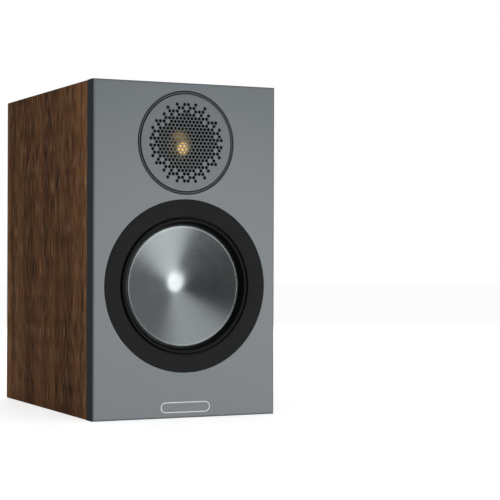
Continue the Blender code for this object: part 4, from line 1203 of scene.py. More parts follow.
    def build_skin(self) -> None:
        """The walnut skin: one board folded round the box, a hollow section carried straight back.

        Its map gives metres across the grain, from front to back, and along it, round the box.
        """
        start = self.depth / 2 - self.baffle_thickness - self.joint
        ease, rear = self.skin_ease, self.depth / 2
        insets = ((0.0, self.skin_corner), (self.wall, 0.001 * MM), (ease, self.skin_corner))
        outer, inner, shrink = (
            rounded_loop(self.width - 2 * inset, self.height - 2 * inset, corner, 5) + [0.0, self.height / 2]
            for inset, corner in insets
        )
        rows = [(inner, -start), (shrink, -start), (outer, -start + ease), (outer, 0.0), (outer, rear - ease)]
        rows += [(shrink, rear), (inner, rear)]
        middle = Axis(0.0, 0.0, 0.0, 1)
        grid = middle.stacked([loop for loop, _ in rows], [height for _, height in rows])
        closed = np.vstack([outer, outer[:1]])
        along = np.r_[0.0, np.cumsum(np.linalg.norm(np.diff(closed, axis=0), axis=1))]
        depth_at = np.array([height for _, height in rows] + [rows[0][1]])
        across = depth_at + np.array([self.wall, 0, 0, 0, 0, 0, self.wall, self.wall])
        flat = np.stack(np.meshgrid(across, along, indexing="ij"), axis=-1)
        corners = [flat[:-1, :-1], flat[:-1, 1:], flat[1:, 1:], flat[1:, :-1]]
        grain_map = np.stack(corners, axis=2).reshape(-1, 2)
        skin = Shell("walnut_skin").grid(grid, wrap_rows=True).piece(grain_map=grain_map)
        nodes = ("side_panel_left", "side_panel_right", "top_panel", "bottom_panel")
        self.keep(skin, Slot.WALNUT, Body.CABINET, *nodes, finish=SLEEVE_FINISH)

    def build(self) -> None:
        """Builds every piece of the cabinet."""
        self.build_baffle()
        self.build_badge()
        self.build_skin()


# ------------------------------------------------------------------ woofer


@dataclass
class Woofer(SubAssembly):
    """The trim ring, the rubber surround and the spun metal cone."""

    axis: Axis = Axis(0.0, WOOFER_Z, -REAR, -1)
    trim_bore: float = 56.3 * MM
    trim_radius: float = 70 * MM
    trim_thickness: float = 2.4 * MM
    trim_dish: float = 1.2 * MM
    cone_radius: float = 49 * MM
    rim_width: float = 0.15 * MM
    bead: tuple[float, float, float] = (47.6 * MM, 0.14 * MM, 0.05 * MM)
    cone_thickness: float = 0.5 * MM
    cone_setback: float = 4.8 * MM
    cone_slope: float = 0.5
    bluntness: float = 6 * MM
    roll: tuple[float, float, float] = (49.9 * MM, 55.4 * MM, 3.2 * MM)
    surround_thickness: float = 0.6 * MM
    surround_lap: tuple[float, float] = (47.7 * MM, -5.9 * MM)
    surround_lip: tuple[float, float] = (61.3 * MM, -3.0 * MM)
    flex: tuple[float, float] = (-3.2 * MM, -5.5 * MM)
    columns: int = 192

    def build_trim(self) -> None:
        """The dished ring with softly rounded edges."""
        bore, radius, foot = self.trim_bore, self.trim_radius, -self.trim_thickness
        corners = [(bore, -self.trim_dish), (radius, 0.0), (radius, foot), (bore, foot)]
        profile = eased(corners, mm(0.5, 0.4, 0.2, 0.2), 5)
        trim = turned_piece("woofer_trim", self.axis, profile, self.columns)
        self.keep(trim, Slot.BLACK_PLASTIC, Body.CABINET, "woofer_trim_ring")

    def build_surround(self) -> None:
        """The half roll: an arch sin(t) over (1 - cos t)/2 between the cone's lap and the basket's lip."""
        inner, outer, rise = self.roll
        (lap_radius, lap), (lip_radius, lip) = self.surround_lap, self.surround_lip
        turn = np.linspace(0, math.pi, 25)
        share = (1 - np.cos(turn)) / 2
        arch = np.stack([inner + (outer - inner) * share, lap + (lip - lap) * share + rise * np.sin(turn)], axis=1)
        ends = [(lap_radius, lap), (inner - 1 * MM, lap)], [(outer + 1 * MM, lip), (lip_radius, lip)]
        profile = ribbon(np.vstack([ends[0], arch, ends[1]]), self.surround_thickness)
        surround = turned_piece("woofer_roll_surround", self.axis, profile, self.columns)
        self.keep(surround, Slot.RUBBER, None, "woofer_surround")
        start, end = (self.axis.points(0.0, height, 0.0) for height in self.flex)
        tuple(start)
        tuple(end)
        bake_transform(surround)

    def build_cone(self) -> None:
        """The dish: depth falls from the middle as the hyperbola hypot(bluntness, slope * r).

        Near its edge it has a rolled bead, a bump exp(-((r - place) / width)^2) of the bead's height.
        """
        edge = self.cone_radius - self.rim_width
        place, width, height = self.bead
        radius = np.sort(np.r_[np.linspace(0, edge, 64), place + 0.37 * width * np.arange(-6, 7)])
        rim_height = -self.cone_setback - self.cone_thickness / 2
        fall = np.hypot(self.bluntness, self.cone_slope * radius) - math.hypot(self.bluntness, self.cone_slope * edge)
        bump = height * np.exp(-(((radius - place) / width) ** 2))
        dish = np.stack([radius, rim_height + fall + bump], axis=1)
        lip = [(self.cone_radius, rim_height - 0.1 * MM)]
        profile = ribbon(np.vstack([dish, lip]), self.cone_thickness)
        profile[[0, -1], 0] = 0.0
        cone = turned_piece("woofer_dish_cone", self.axis, profile, self.columns)
        self.keep(cone, Slot.CONE_METAL, Body.CONE, "woofer_cone")

    def build(self) -> None:
        """Builds every piece of the woofer that shows."""
        self.build_trim()
        self.build_surround()
        self.build_cone()


# ------------------------------------------------------------------ tweeter


@dataclass
class Tweeter(SubAssembly):
    """The pierced plate in its slim ring, and the horn, dome and roll behind it."""

    axis: Axis = Axis(0.0, TWEETER_Z, -REAR, -1)
    plate_radius: float = 39.4 * MM
    plate_thickness: float = 0.8 * MM
    hole_radius: float = 1.42 * MM
    hole_mouth: float = 1.5 * MM
    plate_ease: float = 0.15 * MM
    pitch: float = 3.26 * MM
    # fmt: off
    rows: tuple[tuple[float, ...], ...] = (
        (8,), (9.5,), (9, 8), (8.5,), (9, 8), (7.5, 6.5),
        (8, 5), (5.5,), (6, 3, 5), (4.5, 1.5), (5, 0, 3, 4), (2.5, 1.5),
    )
    # fmt: on
    hole_sides: int = 12
    trim: tuple[float, float, float, float] = (40.1 * MM, 41.5 * MM, 0.45 * MM, 1.9 * MM)
    horn: tuple[float, float, float, float] = (32.5 * MM, 16.3 * MM, 10 * MM, 1.5 * MM)
    dome_radius: float = 12.7 * MM
    dome_height: float = 4.6 * MM
    dome_base: float = 11.3 * MM
    dome_thickness: float = 0.4 * MM
    roll: tuple[float, float, float, float] = (13.3 * MM, 16.0 * MM, -11.7 * MM, 1.2 * MM)
    roll_thickness: float = 0.36 * MM
    flex: tuple[float, float] = (-11.9 * MM, -10.6 * MM)
    columns: int = 144
    small_columns: int = 96

    def hole_centres(self) -> np.ndarray:
        """A hexagonal lattice with a broken fringe.

        Each row, from the middle one outwards, has holes as far out as its first number, in pitches, and none
        at its other numbers. The same rows are used above and below, and both ways from their middles.

        Returns:
            Centres, n x 2.
        """
        centres = []
        for row, (reach, *gaps) in enumerate(self.rows):
            across = np.arange(-reach, reach + 0.5)
            across = across[~np.isin(np.abs(across), gaps)]
            for side in (1, -1) if row else (1,):
                up = np.full(len(across), side * row * math.sqrt(3) / 2)
                centres.append(np.stack([across, up], axis=1))
        return self.pitch * np.concatenate(centres)

    def build_plate(self) -> None:
        """The pierced plate: a flat face split into triangles round its holes, a wall in each hole, and the rim.

        Both faces use one triangulation. A hole's wall is a ring of four circles, narrower between its mouths.
        """
        centres = self.hole_centres()
        hole_circle, rim_circle = circle(self.hole_sides), circle(self.columns)
        ease, foot = self.plate_ease, -self.plate_thickness
        levels = [(self.hole_mouth, 0.0), (self.hole_radius, -ease), (self.hole_radius, foot + ease)]
        levels.append((self.hole_mouth, foot))
        rims = [(self.plate_radius - ease, 0.0), (self.plate_radius, -ease)]
        rims += [(self.plate_radius, foot + ease), (self.plate_radius - ease, foot)]

        holes = (centres[:, None] + self.hole_mouth * hole_circle).reshape(-1, 2)
        flat = np.vstack([rim_circle * rims[0][0], holes])
        rim_index = np.arange(self.columns)
        rim_edges = np.stack([rim_index, np.roll(rim_index, -1)], axis=1)
        hole_index = self.columns + np.arange(len(holes)).reshape(-1, self.hole_sides)
        hole_edges = np.stack([hole_index, np.roll(hole_index, -1, axis=1)], axis=-1).reshape(-1, 2)
        edges = np.vstack([rim_edges, hole_edges]).tolist()
        corners, _, triangles, *_ = delaunay_2d_cdt([Vector(p) for p in (flat / MM).tolist()], edges, [], 0, 1e-5)
        corners = np.array([tuple(corner) for corner in corners]) * MM
        triangles = np.array(triangles)
        middles = corners[triangles].mean(axis=1)
        nearest = np.linalg.norm(middles[:, None] - centres[None], axis=-1).min(axis=1)
        outside = np.linalg.norm(middles, axis=1) > self.plate_radius - ease
        triangles = triangles[(nearest > self.hole_mouth * 0.97) & ~outside]

        shell = Shell("tweeter_pierced_plate")
        shell.loose(self.axis.points(corners[:, 0], 0.0, corners[:, 1]), triangles)
        shell.loose(self.axis.points(corners[:, 0], foot, corners[:, 1]), triangles[:, ::-1])
        shell.grid(self.axis.stacked([rim_circle * radius for radius, _ in rims], [height for _, height in rims]))
        per_hole = grid_faces(len(levels), self.hole_sides, False, True)
        rings = np.stack([centres[:, None] + radius * hole_circle for radius, _ in levels], axis=1)
        heights = np.array([height for _, height in levels])[None, :, None]
        walls = self.axis.points(rings[..., 0], heights, rings[..., 1]).reshape(-1, 3)
        first = np.arange(len(centres))[:, None, None] * (len(levels) * self.hole_sides)
        shell.loose(walls, (per_hole[None] + first).reshape(-1, 4))
        self.keep(shell.piece(), Slot.GRILLE, Body.CABINET, "tweeter_grille")

    def build_trim(self) -> None:
        """The slim ring in the groove round the plate, coloured with the groove's painted shade."""
        bore, radius, top, bottom = self.trim
        profile = eased([(bore, -top), (radius, -top), (radius, -bottom), (bore, -bottom)], 0.65 * MM, 5)
        ring = turned_piece("tweeter_groove_ring", self.axis, profile, self.columns)
        self.keep(ring, Slot.BLACK_PLASTIC, Body.CABINET, "tweeter_trim_ring", finish=GROOVE_SHADE_FINISH)

    def build_horn(self) -> None:
        """The faceplate: a quarter-ellipse horn from the throat to the mouth, on a stepped body."""
        mouth, throat, throat_depth, seat = self.horn
        turn = np.linspace(0, math.pi / 2, 24)
        radius = throat + (mouth - throat) * (1 - np.cos(turn))
        height = -throat_depth + (throat_depth - seat) * np.sin(turn)
        # fmt: off
        body = mm(
            (39.4, -1.5), (39.4, -2.2), (41.9, -2.2), (41.9, -5.7), (31.4, -5.7),
            (31.4, -12.2), (18.8, -12.2), (18.8, -11.0), (16.3, -11.0),
        )
        # fmt: on
        profile = np.vstack([body, np.stack([radius, height], axis=1)])
        horn = turned_piece("tweeter_horn", self.axis, profile, self.columns)
        self.keep(horn, Slot.BLACK_PLASTIC, Body.CABINET, "tweeter_faceplate")

    def build_dome(self) -> None:
        """The dome, a spherical cap of even thickness."""
        sphere = (self.dome_radius**2 + self.dome_height**2) / (2 * self.dome_height)
        turn = np.linspace(0, math.asin(self.dome_radius / sphere), 24)
        rise = self.dome_height - sphere * (1 - np.cos(turn))
        profile = ribbon(np.stack([sphere * np.sin(turn), rise - self.dome_base], axis=1), self.dome_thickness)
        profile[[0, -1], 0] = 0.0
        dome = turned_piece("tweeter_gold_dome", self.axis, profile, self.small_columns)
        self.keep(dome, Slot.GOLD_DOME, Body.DOME, "tweeter_dome")

    def build_roll(self) -> None:
        """The small roll round the dome: an arch sin(t), then a flat lip under the faceplate."""
        turn = np.linspace(0, math.pi, 17)
        inner, outer, level, rise = self.roll
        arch = np.stack([inner + (outer - inner) * (1 - np.cos(turn)) / 2, level + rise * np.sin(turn)], axis=1)
        lip = [(outer + 1.2 * MM, level), (outer + 2.5 * MM, level)]
        profile = ribbon(np.vstack([arch, lip]), self.roll_thickness)
        roll = turned_piece("tweeter_roll_surround", self.axis, profile, self.small_columns)
        self.keep(roll, Slot.RUBBER, None, "tweeter_surround")
        start, end = (self.axis.points(0.0, height, 0.0) for height in self.flex)
        tuple(start)
        tuple(end)
        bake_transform(roll)

    def build(self) -> None:
        """Builds every piece of the tweeter that shows."""
        self.build_plate()
        self.build_trim()
        self.build_horn()
        self.build_dome()
        self.build_roll()


# ------------------------------------------------------------------ rear: port and terminals


@dataclass
class Port(SubAssembly):
    """The flared reflex port."""

    axis: Axis = Axis(0.0, 200 * MM, REAR, 1)
    bore: float = 21 * MM
    mouth: float = 31 * MM
    flange: float = 38 * MM
    top: float = 2.3 * MM
    flare: float = 14 * MM
    wall: float = 2 * MM
    seat: float = 0.3 * MM
    length: float = 100 * MM

    def build(self) -> None:
        """The tube: a quarter-ellipse flare into a thin rounded flange, with a plain outer wall."""
        turn = np.linspace(0, math.pi / 2, 28)
        reach = self.flare + self.top
        radius = self.bore + (self.mouth - self.bore) * (1 - np.cos(turn))
        height = -self.flare + reach * np.sin(turn)
        inner = np.stack([radius, height], axis=1)
        behind = inner[height < -0.4 * MM] + [self.wall, 0.0]
        edge = [(self.flange, self.top), (self.flange, self.seat)]
        rim = eased([*edge, (behind[-1][0], self.seat)], mm(1.2, 0.2, 0), 6, closed=False)
        rim[:7] = eased([(self.mouth + 1 * MM, self.top), *edge], 1.4 * MM, 6, closed=False)[7:14]
        foot = [(self.bore + self.wall, -self.length), (self.bore, -self.length)]
        profile = np.vstack([inner, rim, behind[::-1], foot])
        tube = turned_piece("reflex_port", self.axis, profile, 128)
        self.keep(tube, Slot.BLACK_PLASTIC, Body.CABINET, "port_tube")


@dataclass
class Terminals(SubAssembly):
    """The moulded terminal plate, its screws, and the two posts with their washers and nuts."""

    size: tuple[float, float] = (104 * MM, 84 * MM)
    corner: float = 6 * MM
    foot: float = 0.3 * MM
    face: float = 2.8 * MM
    post_offset: float = 9.5 * MM
    screw_spot: tuple[float, float] = (47 * MM, 37 * MM)
    boss_spot: tuple[float, float] = (36 * MM, 26 * MM)
    stem_radius: float = 3 * MM
    thread_pitch: float = 0.8 * MM
    thread_depth: float = 0.25 * MM
    nut_radius: float = 7.5 * MM
    nut_span: tuple[float, float] = (6.7 * MM, 22.7 * MM)
    flutes: int = 12
    flute_depth: float = 0.5 * MM

    def at(self, x: float, up: float = 0.0) -> Axis:
        """The line out of the rear face at x, and up from the terminals' middle."""
        return Axis(x, TERMINALS_Z + up, REAR, 1)

    def build_plate(self) -> None:
        """The plate: outlines stacked into a raised rim round a sunk field, with a boss ring round each post."""
        width, height = self.size
        flat = height / 2 - 0.01 * MM
        foot, face = self.foot, self.face
        rows = [(flat, foot), (0.2 * MM, foot), (0.0, foot + 0.2 * MM), (0.0, face - 0.7 * MM)]
        rows += [(0.25 * MM, face - 0.15 * MM), (0.7 * MM, face), (2.4 * MM, face)]
        rows += [(2.9 * MM, face - 0.2 * MM), (3.2 * MM, face - 0.8 * MM), (flat, face - 0.8 * MM)]
        loops = []
        for inset, _ in rows:
            corner = max(self.corner - inset, 0.002 * MM)
            loops.append(rounded_loop(width - 2 * inset, height - 2 * inset, corner, 10))
        shell = Shell("terminal_moulding").grid(self.at(0.0).stacked(loops, [row[1] for row in rows]))
        low, top, sunk = (face - 1.2 * MM) / MM, face / MM, (foot + 0.5 * MM) / MM
        posts = (-self.post_offset, self.post_offset)
        bosses = [(x, 0.0, (3.4, 9, 8.2, 3.4), (low, low, top, top), 0.25, 64) for x in posts]
        for sx, sy in CORNERS:
            seat, stay = np.array([sx, sy]) * self.screw_spot, np.array([sx, sy]) * self.boss_spot
            bosses.append((*seat, (1.8, 4.6, 4.2, 1.8), (low, low, top, top), 0.2, 40))
            bosses.append((*stay, (0.4, 3, 3, 0.4), (sunk, sunk, -20, -20), 0.2, 24))
        for x, up, radii, heights, ease, columns in bosses:
            ring = eased(mm(*zip(radii, heights)), ease * MM, 3)
            shell.grid(self.at(x, up).turned(ring, columns), wrap_rows=True)
        self.keep(shell.piece(), Slot.BLACK_PLASTIC, Body.CABINET, "terminal_plate")

    def build_screws(self) -> None:
        """Four pan-head screws, each with a crossed recess: a low dome over a plain shank."""
        for number, (sx, sy) in enumerate(CORNERS, 1):
            axis = self.at(sx * self.screw_spot[0], sy * self.screw_spot[1])
            turn = np.linspace(math.pi / 2, 0.35, 10)
            seat, top = 3.1 * MM, 4.9 * MM
            dome = np.stack([3 * MM * np.cos(turn), seat + (top - seat) * np.sin(turn)], axis=1)
            foot = mm((3.0, 3.1), (1.5, 3.1), (1.5, -5.6), (0.4, -6.9), (0.0, -6.9))
            screw = turned_piece(f"terminal_pan_screw_{number}", axis, np.vstack([dome, foot]), 32, closed=False)
            for turn_by in (0.4, 0.4 + math.pi / 2):
                cut(screw, self.slot_cutter(axis, turn_by))
            self.keep(screw, Slot.STEEL, Body.CABINET, f"terminal_screw_{number}")

    def slot_cutter(self, axis: Axis, turn: float) -> bpy.types.Object:
        """One arm of a cross recess: a bar that narrows as it goes down, turned about the axis.

        Args:
            axis: The screw's own line.
            turn: Its angle.

        Returns:
            The cutter.
        """
        loops = []
        for width, height in ((1.2 * MM, 0.3 * MM), (3.6 * MM, 0.8 * MM)):
            flat = rounded_loop(width, height, 0.1 * MM, 2)
            spin = np.array([[math.cos(turn), math.sin(turn)], [-math.sin(turn), math.cos(turn)]])
            loops.append(flat @ spin)
        tiny = [loop * 0.001 for loop in loops]
        stack = [tiny[0], loops[0], loops[1], tiny[1]]
        return Shell("cross_cutter").grid(axis.stacked(stack, mm(3.5, 3.5, 5.2, 5.2))).piece()

    def build_post(self, axis: Axis, word: str) -> None:
        """The gold post: a real thread on the stem, r = radius - depth * |2 frac(height/pitch - turn) - 1|.

        Args:
            axis: The post's own line.
            word: The colour that names it.
        """
        low, high = 5.2 * MM, 21.4 * MM
        height = np.arange(low, high, self.thread_pitch / 6)
        angle = np.linspace(0, 1, 36, endpoint=False)
        phase = np.mod(height[:, None] / self.thread_pitch - angle[None, :], 1.0)
        ends = np.clip(np.minimum(height - low, high - height) / (0.6 * MM), 0, 1)[:, None]
        thread = 1 - self.thread_depth / self.stem_radius * np.abs(2 * phase - 1) * ends
        stem = np.stack([np.full(len(height), self.stem_radius), height], axis=1)
        # fmt: off
        foot = mm(
            (0.0, -23.9), (1.0, -23.9), (1.2, -23.7), (1.2, -2.7), (3.0, -2.7), (3.0, 3.1),
            (6.3, 3.1), (6.5, 3.3), (6.5, 4.35), (6.25, 4.6), (3.0, 4.6),
        )
        # fmt: on
        head = mm((3.0, 21.6), (2.7, 22.0), (2.35, 22.0), (2.1, 21.8), (2.1, 6.0), (0.0, 6.0))
        profile = np.vstack([foot, stem, head])
        swell = np.vstack([np.ones((len(foot), 36)), thread, np.ones((len(head), 36))])
        post = Shell(f"post_{word}").grid(axis.turned(profile, 36, swell)).piece()
        self.keep(post, Slot.GOLD_PLATE, Body.CABINET, f"terminal_post_{word}")

    def build_washer(self, axis: Axis, word: str, body: Body) -> None:
        """The clamping washer, eased at every edge.

        Args:
            axis: The post's own line.
            word: The colour that names it.
            body: The body it moves with.
        """
        profile = eased(mm((3.3, 4.9), (6.3, 4.9), (6.3, 6.4), (3.3, 6.4)), 0.3 * MM, 4)
        washer = turned_piece(f"washer_{word}_ring", axis, profile, 64)
        self.keep(washer, Slot.GOLD_PLATE, body, f"terminal_washer_{word}")

    def build_nut(self, axis: Axis, word: str, slot: Slot, body: Body) -> None:
        """The fluted nut: its radius dips (1 - cos(flutes * a))/2 by the flute depth, fading out at both ends.

        Args:
            axis: The post's own line.
            word: The colour that names it.
            slot: Its material slot.
            body: The body it turns with.
        """
        low, high = self.nut_span
        bore, radius = self.stem_radius + 0.3 * MM, self.nut_radius
        corners = [(bore, low), (radius, low), (radius, low + 3 * MM), (radius, high - 2 * MM), (radius, high)]
        sunk = high - 0.8 * MM
        corners += [(5.6 * MM, high), (5.2 * MM, sunk), (4.4 * MM, sunk)]
        corners += [(bore + 0.3 * MM, high - 0.4 * MM), (bore, sunk)]
        profile = eased(corners, mm(0.2, 0.9, 0, 0, 0.9, 0.3, 0.15, 0.15, 0.1, 0.1), 6)
        columns = 12 * self.flutes
        angle = np.linspace(0, 2 * math.pi, columns, endpoint=False)[None, :]
        outer = np.clip((profile[:, :1] - 6 * MM) / (1.2 * MM), 0, 1)
        fade = np.clip(np.minimum(profile[:, 1:] - low, high - profile[:, 1:]) / (1.2 * MM), 0.35, 1)
        dip = self.flute_depth * (1 - np.cos(self.flutes * angle)) / 2 * outer * fade
        swell = 1 - dip / profile[:, :1]
        nut = Shell(f"fluted_nut_{word}").grid(axis.turned(profile, columns, swell), wrap_rows=True).piece()
        self.keep(nut, slot, body, f"terminal_nut_{word}")

    def build(self) -> None:
        """Builds the plate, its screws and both posts."""
        self.build_plate()
        self.build_screws()
        sets = (
            ("red", 1, Slot.NUT_RED, Body.WASHER_RED, Body.NUT_RED),
            ("black", -1, Slot.NUT_BLACK, Body.WASHER_BLACK, Body.NUT_BLACK),
        )
        for word, side, slot, washer_body, nut_body in sets:
            axis = self.at(side * self.post_offset)
            self.build_post(axis, word)
            self.build_washer(axis, word, washer_body)
            self.build_nut(axis, word, slot, nut_body)


# ------------------------------------------------------------------ inside: wadding and leads


@dataclass
class Inside(SubAssembly):
    """The soft things inside the cabinet: the pad of wadding and the two leads."""

    lead_radius: float = 1.55 * MM
    twist_length: float = 16 * MM

    def build_wadding(self) -> None:
        """The pad: a rounded box |cos|^p |sin|^p in both turns, crowned, tufted on top and flat underneath."""
        low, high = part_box("wadding")
        half = (np.array(high) - np.array(low)) / 2 - 0.4 * MM
        middle = (np.array(high) + np.array(low)) / 2
        up = np.linspace(-math.pi / 2, math.pi / 2, 65)[:, None]
        around = np.linspace(0, 2 * math.pi, 160, endpoint=False)[None, :]

        def squared(wave: np.ndarray, power: float) -> np.ndarray:
            """A wave with its size raised to a power and its sign kept."""
            return np.sign(wave) * np.abs(wave) ** power

        x = half[0] * squared(np.cos(up), 0.45) * squared(np.cos(around), 0.3)
        y = half[1] * squared(np.cos(up), 0.45) * squared(np.sin(around), 0.3)
        z = half[2] * squared(np.sin(up), 0.55) + 0 * around
        tufts = 0.5 + 0.5 * np.cos(x / (13 * MM)) * np.cos(y / (15 * MM))
        lumps = 0.5 + 0.25 * np.sin(x / (4.1 * MM) + 1.3 * np.sin(y / (9 * MM))) + 0.25 * np.sin(y / (3.7 * MM) + 2.0)
        z = np.where(z > 0, z * (0.72 + 0.2 * tufts + 0.08 * lumps), z)
        sway = 1 - 0.02 * np.sin(7 * around) ** 2 * np.cos(up)
        points = np.stack([x * sway, y * sway, np.maximum(z, -half[2])], axis=-1) + middle
        pad = Shell("wadding_pad").grid(points).piece()
        self.keep(pad, Slot.WADDING, Body.CABINET, "wadding")

    def route(self, stops: np.ndarray, samples: int = 14) -> np.ndarray:
        """A Catmull-Rom curve through the stops: each stretch is a cubic whose ends slope like their neighbours.

        Args:
            stops: The points it passes through.
            samples: Points on each stretch.

        Returns:
            The curve's points, n x 3.
        """
        ends = np.array([stops[0], *stops, stops[-1]])
        t = np.linspace(0, 1, samples, endpoint=False)[None, :, None]
        p0, p1, p2, p3 = (ends[i : len(ends) - 3 + i, None] for i in range(4))
        curve = p1 + 0.5 * t * (p2 - p0 + t * (2 * p0 - 5 * p1 + 4 * p2 - p3 + t * (3 * p1 - p0 - 3 * p2 + p3)))
        return np.vstack([curve.reshape(-1, 3), ends[-1:]])

    def build_lead(self, name: str, node: str, stops: np.ndarray) -> None:
        """A twin lead: a waisted section, r (0.86 + 0.14 cos 2a), that turns slowly as it follows its route.

        Args:
            name: The piece's name.
            node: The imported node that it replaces.
            stops: The points its route passes through.
        """
        line = self.route(stops)
        along = np.gradient(line, axis=0)
        along /= np.linalg.norm(along, axis=1)[:, None]
        side = np.cross(along, np.array([0.31, 0.17, 0.94]))
        side /= np.linalg.norm(side, axis=1)[:, None]
        over = np.cross(along, side)
        length = np.r_[0.0, np.cumsum(np.linalg.norm(np.diff(line, axis=0), axis=1))]
        angle = np.linspace(0, 2 * math.pi, 20, endpoint=False)[None, :]
        section = self.lead_radius * (0.86 + 0.14 * np.cos(2 * angle)) * np.ones((len(line), 1))
        section[[0, -1]] = 0.0
        turned = angle + 2 * math.pi * length[:, None] / self.twist_length
        tube = line[:, None] + side[:, None] * (section * np.cos(turned))[..., None]
        tube += over[:, None] * (section * np.sin(turned))[..., None]
        lead = Shell(name).grid(tube).piece()
        self.keep(lead, Slot.LEAD, Body.CABINET, node)

    def build(self) -> None:
        """Builds the pad and both leads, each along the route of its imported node."""
        self.build_wadding()
        side, wall, board = 38.4, 58.0, 94.3
        run, tags, tag_y = board - 25, WOOFER_Z / MM + 51, -80.8
        cup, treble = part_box("tweeter_lead")[0].y / MM + 0.2, TWEETER_Z / MM
        bass_stops = [(-wall, run - 40, 107), (-wall, tag_y + 35, tags), (-20, tag_y + 6, tags + 16)]
        bass_stops += [(0, tag_y, tags + 10), (0, tag_y, tags + 5), (0, tag_y, tags)]
        treble_stops = [(wall, run - 30, 127), (wall, run - 60, treble - 30), (30, cup + 25, treble)]
        treble_stops += [(0, cup + 10, treble), (0, cup + 5, treble), (0, cup, treble)]
        for name, sign, stops in (("woofer", -1, bass_stops), ("tweeter", 1, treble_stops)):
            low = TERMINALS_Z / MM
            start = [(sign * side, board, low), (sign * side, board - 10, low), (sign * (side + 1), run, low + 2)]
            self.build_lead(f"{name}_twin_lead", f"{name}_lead", mm(*start, *stops))


# ------------------------------------------------------------------ studio


@dataclass(frozen=True)
class Glow:
    """A soft bright patch of the surroundings, seen only in reflections."""

    towards: tuple[float, float, float]
    inner: float
    outer: float
    strength: float


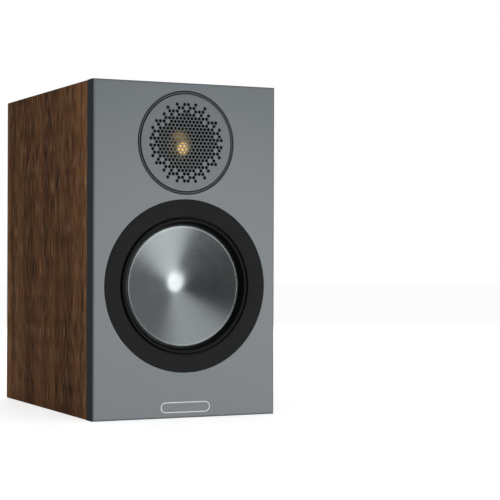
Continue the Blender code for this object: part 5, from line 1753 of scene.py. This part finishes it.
@dataclass
class Studio:
    """The floor, the lights, the surroundings and the camera."""

    azimuth: float = math.radians(-25.504)
    elevation: float = math.radians(-0.185)
    roll: float = math.radians(-0.181)
    target: tuple[float, float, float] = (0.11309, 0.0, 0.13692)
    distance: float = 1.4290
    lens: float = 113.03
    ambient: float = 0.4
    reflected: float = 0.035
    floor_level: float = -0.05 * MM
    floor_lift: float = 0.62
    glows: tuple[Glow, ...] = (
        Glow((0.64, -0.48, -0.6), math.radians(2), math.radians(30), 0.7),
        Glow((0.13, -0.72, 0.68), math.radians(2), math.radians(40), 0.42),
        Glow((0.85, -0.35, 0.4), math.radians(6), math.radians(56), 0.115),
    )

    def build_camera(self) -> None:
        """A long lens at the height of the cabinet's middle, to the left of its face."""
        back = Vector(
            (
                math.sin(self.azimuth) * math.cos(self.elevation),
                -math.cos(self.azimuth) * math.cos(self.elevation),
                math.sin(self.elevation),
            )
        )
        right = Vector((0, 0, 1)).cross(back).normalized()
        up = back.cross(right)
        across = right * math.cos(self.roll) - up * math.sin(self.roll)
        upright = right * math.sin(self.roll) + up * math.cos(self.roll)
        camera = bpy.data.objects.new("camera", bpy.data.cameras.new("camera"))
        camera.data.lens = self.lens
        camera.data.sensor_width = 36.0
        camera.matrix_world = Matrix.Translation(Vector(self.target) + back * self.distance) @ Matrix(
            (across, upright, back)
        ).transposed().to_4x4()
        bpy.context.scene.collection.objects.link(camera)
        bpy.context.scene.camera = camera

    def build_surroundings(self) -> None:
        """White to the eye, a soft even light on matt surfaces, and darker with soft glows in reflections."""
        world = bpy.data.worlds.new("surroundings")
        world.use_nodes = True
        bench = Bench(world.node_tree)
        towards = bench.add("TexCoord").outputs["Generated"]
        total = self.reflected
        for glow in self.glows:
            unit = Vector(glow.towards).normalized()
            facing = bench.add("VectorMath", {0: towards, 1: tuple(unit)}, operation="DOT_PRODUCT").outputs["Value"]
            lobe = bench.steps(facing, math.cos(glow.outer), math.cos(glow.inner), 0.0, glow.strength)
            total = bench.math("ADD", lobe, total)
        mirrored, soft, seen = (
            bench.add("Background", {"Color": WHITE, "Strength": strength}).outputs[0]
            for strength in (total, self.ambient, 1.0)
        )
        path = bench.add("LightPath")
        lit = bench.add("MixShader", {0: path.outputs["Is Glossy Ray"], 1: soft, 2: mirrored}).outputs[0]
        whole = bench.add("MixShader", {0: path.outputs["Is Camera Ray"], 1: lit, 2: seen}).outputs[0]
        bench.add("OutputWorld", {"Surface": whole})
        bpy.context.scene.world = world

    def add_softbox(
        self, name: str, place: Any, aim: Any, size: tuple[float, float], power: float, mirrored: bool = True
    ) -> None:
        """Adds an oval soft light.

        Args:
            name: The light's name.
            place: Where it stands.
            aim: The point it faces.
            size: Its width and height.
            power: Its power in watts.
            mirrored: Whether reflections see it.
        """
        light = bpy.data.lights.new(name, "AREA")
        light.shape = "ELLIPSE"
        light.size, light.size_y = size
        light.energy = power
        lamp = bpy.data.objects.new(name, light)
        lamp.matrix_world = Matrix.Translation(place) @ (
            (Vector(place) - Vector(aim)).to_track_quat("Z", "Y").to_matrix().to_4x4()
        )
        lamp.visible_glossy = mirrored
        bpy.context.scene.collection.objects.link(lamp)

    def build_lights(self) -> None:
        """A softbox close in front to the right, a weak one to the left in front, and one behind for the rear."""
        self.add_softbox("softbox_right", (0.22, -0.63, 0.02), (0.0, -0.1, 0.08), (0.6, 0.6), 1.45)
        self.add_softbox("softbox_left", (-0.7, -0.85, 0.4), (0.0, -0.1, 0.13), (0.6, 0.6), 1.6, False)
        self.add_softbox("softbox_rear", (0.5, 1.3, 0.6), (0.0, 0.1, 0.13), (0.8, 0.8), 6.0, False)

    def build_floor(self) -> None:
        """A plain pale floor, a disc of rings that reflections don't see."""
        flat = np.array([6.0, 2.5, 1.0, 0.4, 0.0])[:, None, None] * circle(96)
        grid = np.concatenate([flat, np.full((5, 96, 1), self.floor_level)], axis=-1)
        floor = Shell("pale_floor").grid(grid).piece(recalculate=False)
        material = bpy.data.materials.new("pale_floor")
        material.use_nodes = True
        bench = Bench(material.node_tree)
        place = bench.add("TexCoord").outputs["Object"]
        tone = bench.blend(bench.noise(30.0, 3.0, {"Vector": place}), (0.86, 0.86, 0.86, 1.0), (0.9, 0.9, 0.9, 1.0))
        lift = bench.math("MULTIPLY", bench.add("LightPath").outputs["Is Camera Ray"], self.floor_lift)
        inputs = {"Base Color": tone, "Roughness": 0.9, "Specular IOR Level": 0.0}
        inputs |= {"Emission Color": WHITE, "Emission Strength": lift}
        shader = bench.add("BsdfPrincipled", inputs)
        bench.add("OutputMaterial", {"Surface": shader.outputs[0]})
        floor.data.materials.append(material)
        floor.visible_glossy = False
        floor.visible_shadow = False

    def build(self) -> None:
        """Builds the whole studio."""
        self.build_camera()
        self.build_surroundings()
        self.build_lights()
        self.build_floor()
        bpy.context.scene.view_settings.view_transform = "Standard"


def main() -> None:
    """Builds the studio and each sub-assembly in order, and reports every piece."""
    logging.basicConfig(level=logging.INFO, format="%(message)s")
    Studio().build()
    wardrobe = Wardrobe(Effects())
    wardrobe.dress_nodes()
    for assembly in (Cabinet, Woofer, Tweeter, Port, Terminals, Inside):
        part = assembly(wardrobe)
        part.build()
        log.info("%s: %d pieces", assembly.__name__, len(part.pieces))


if __name__ == "__main__":
    main()
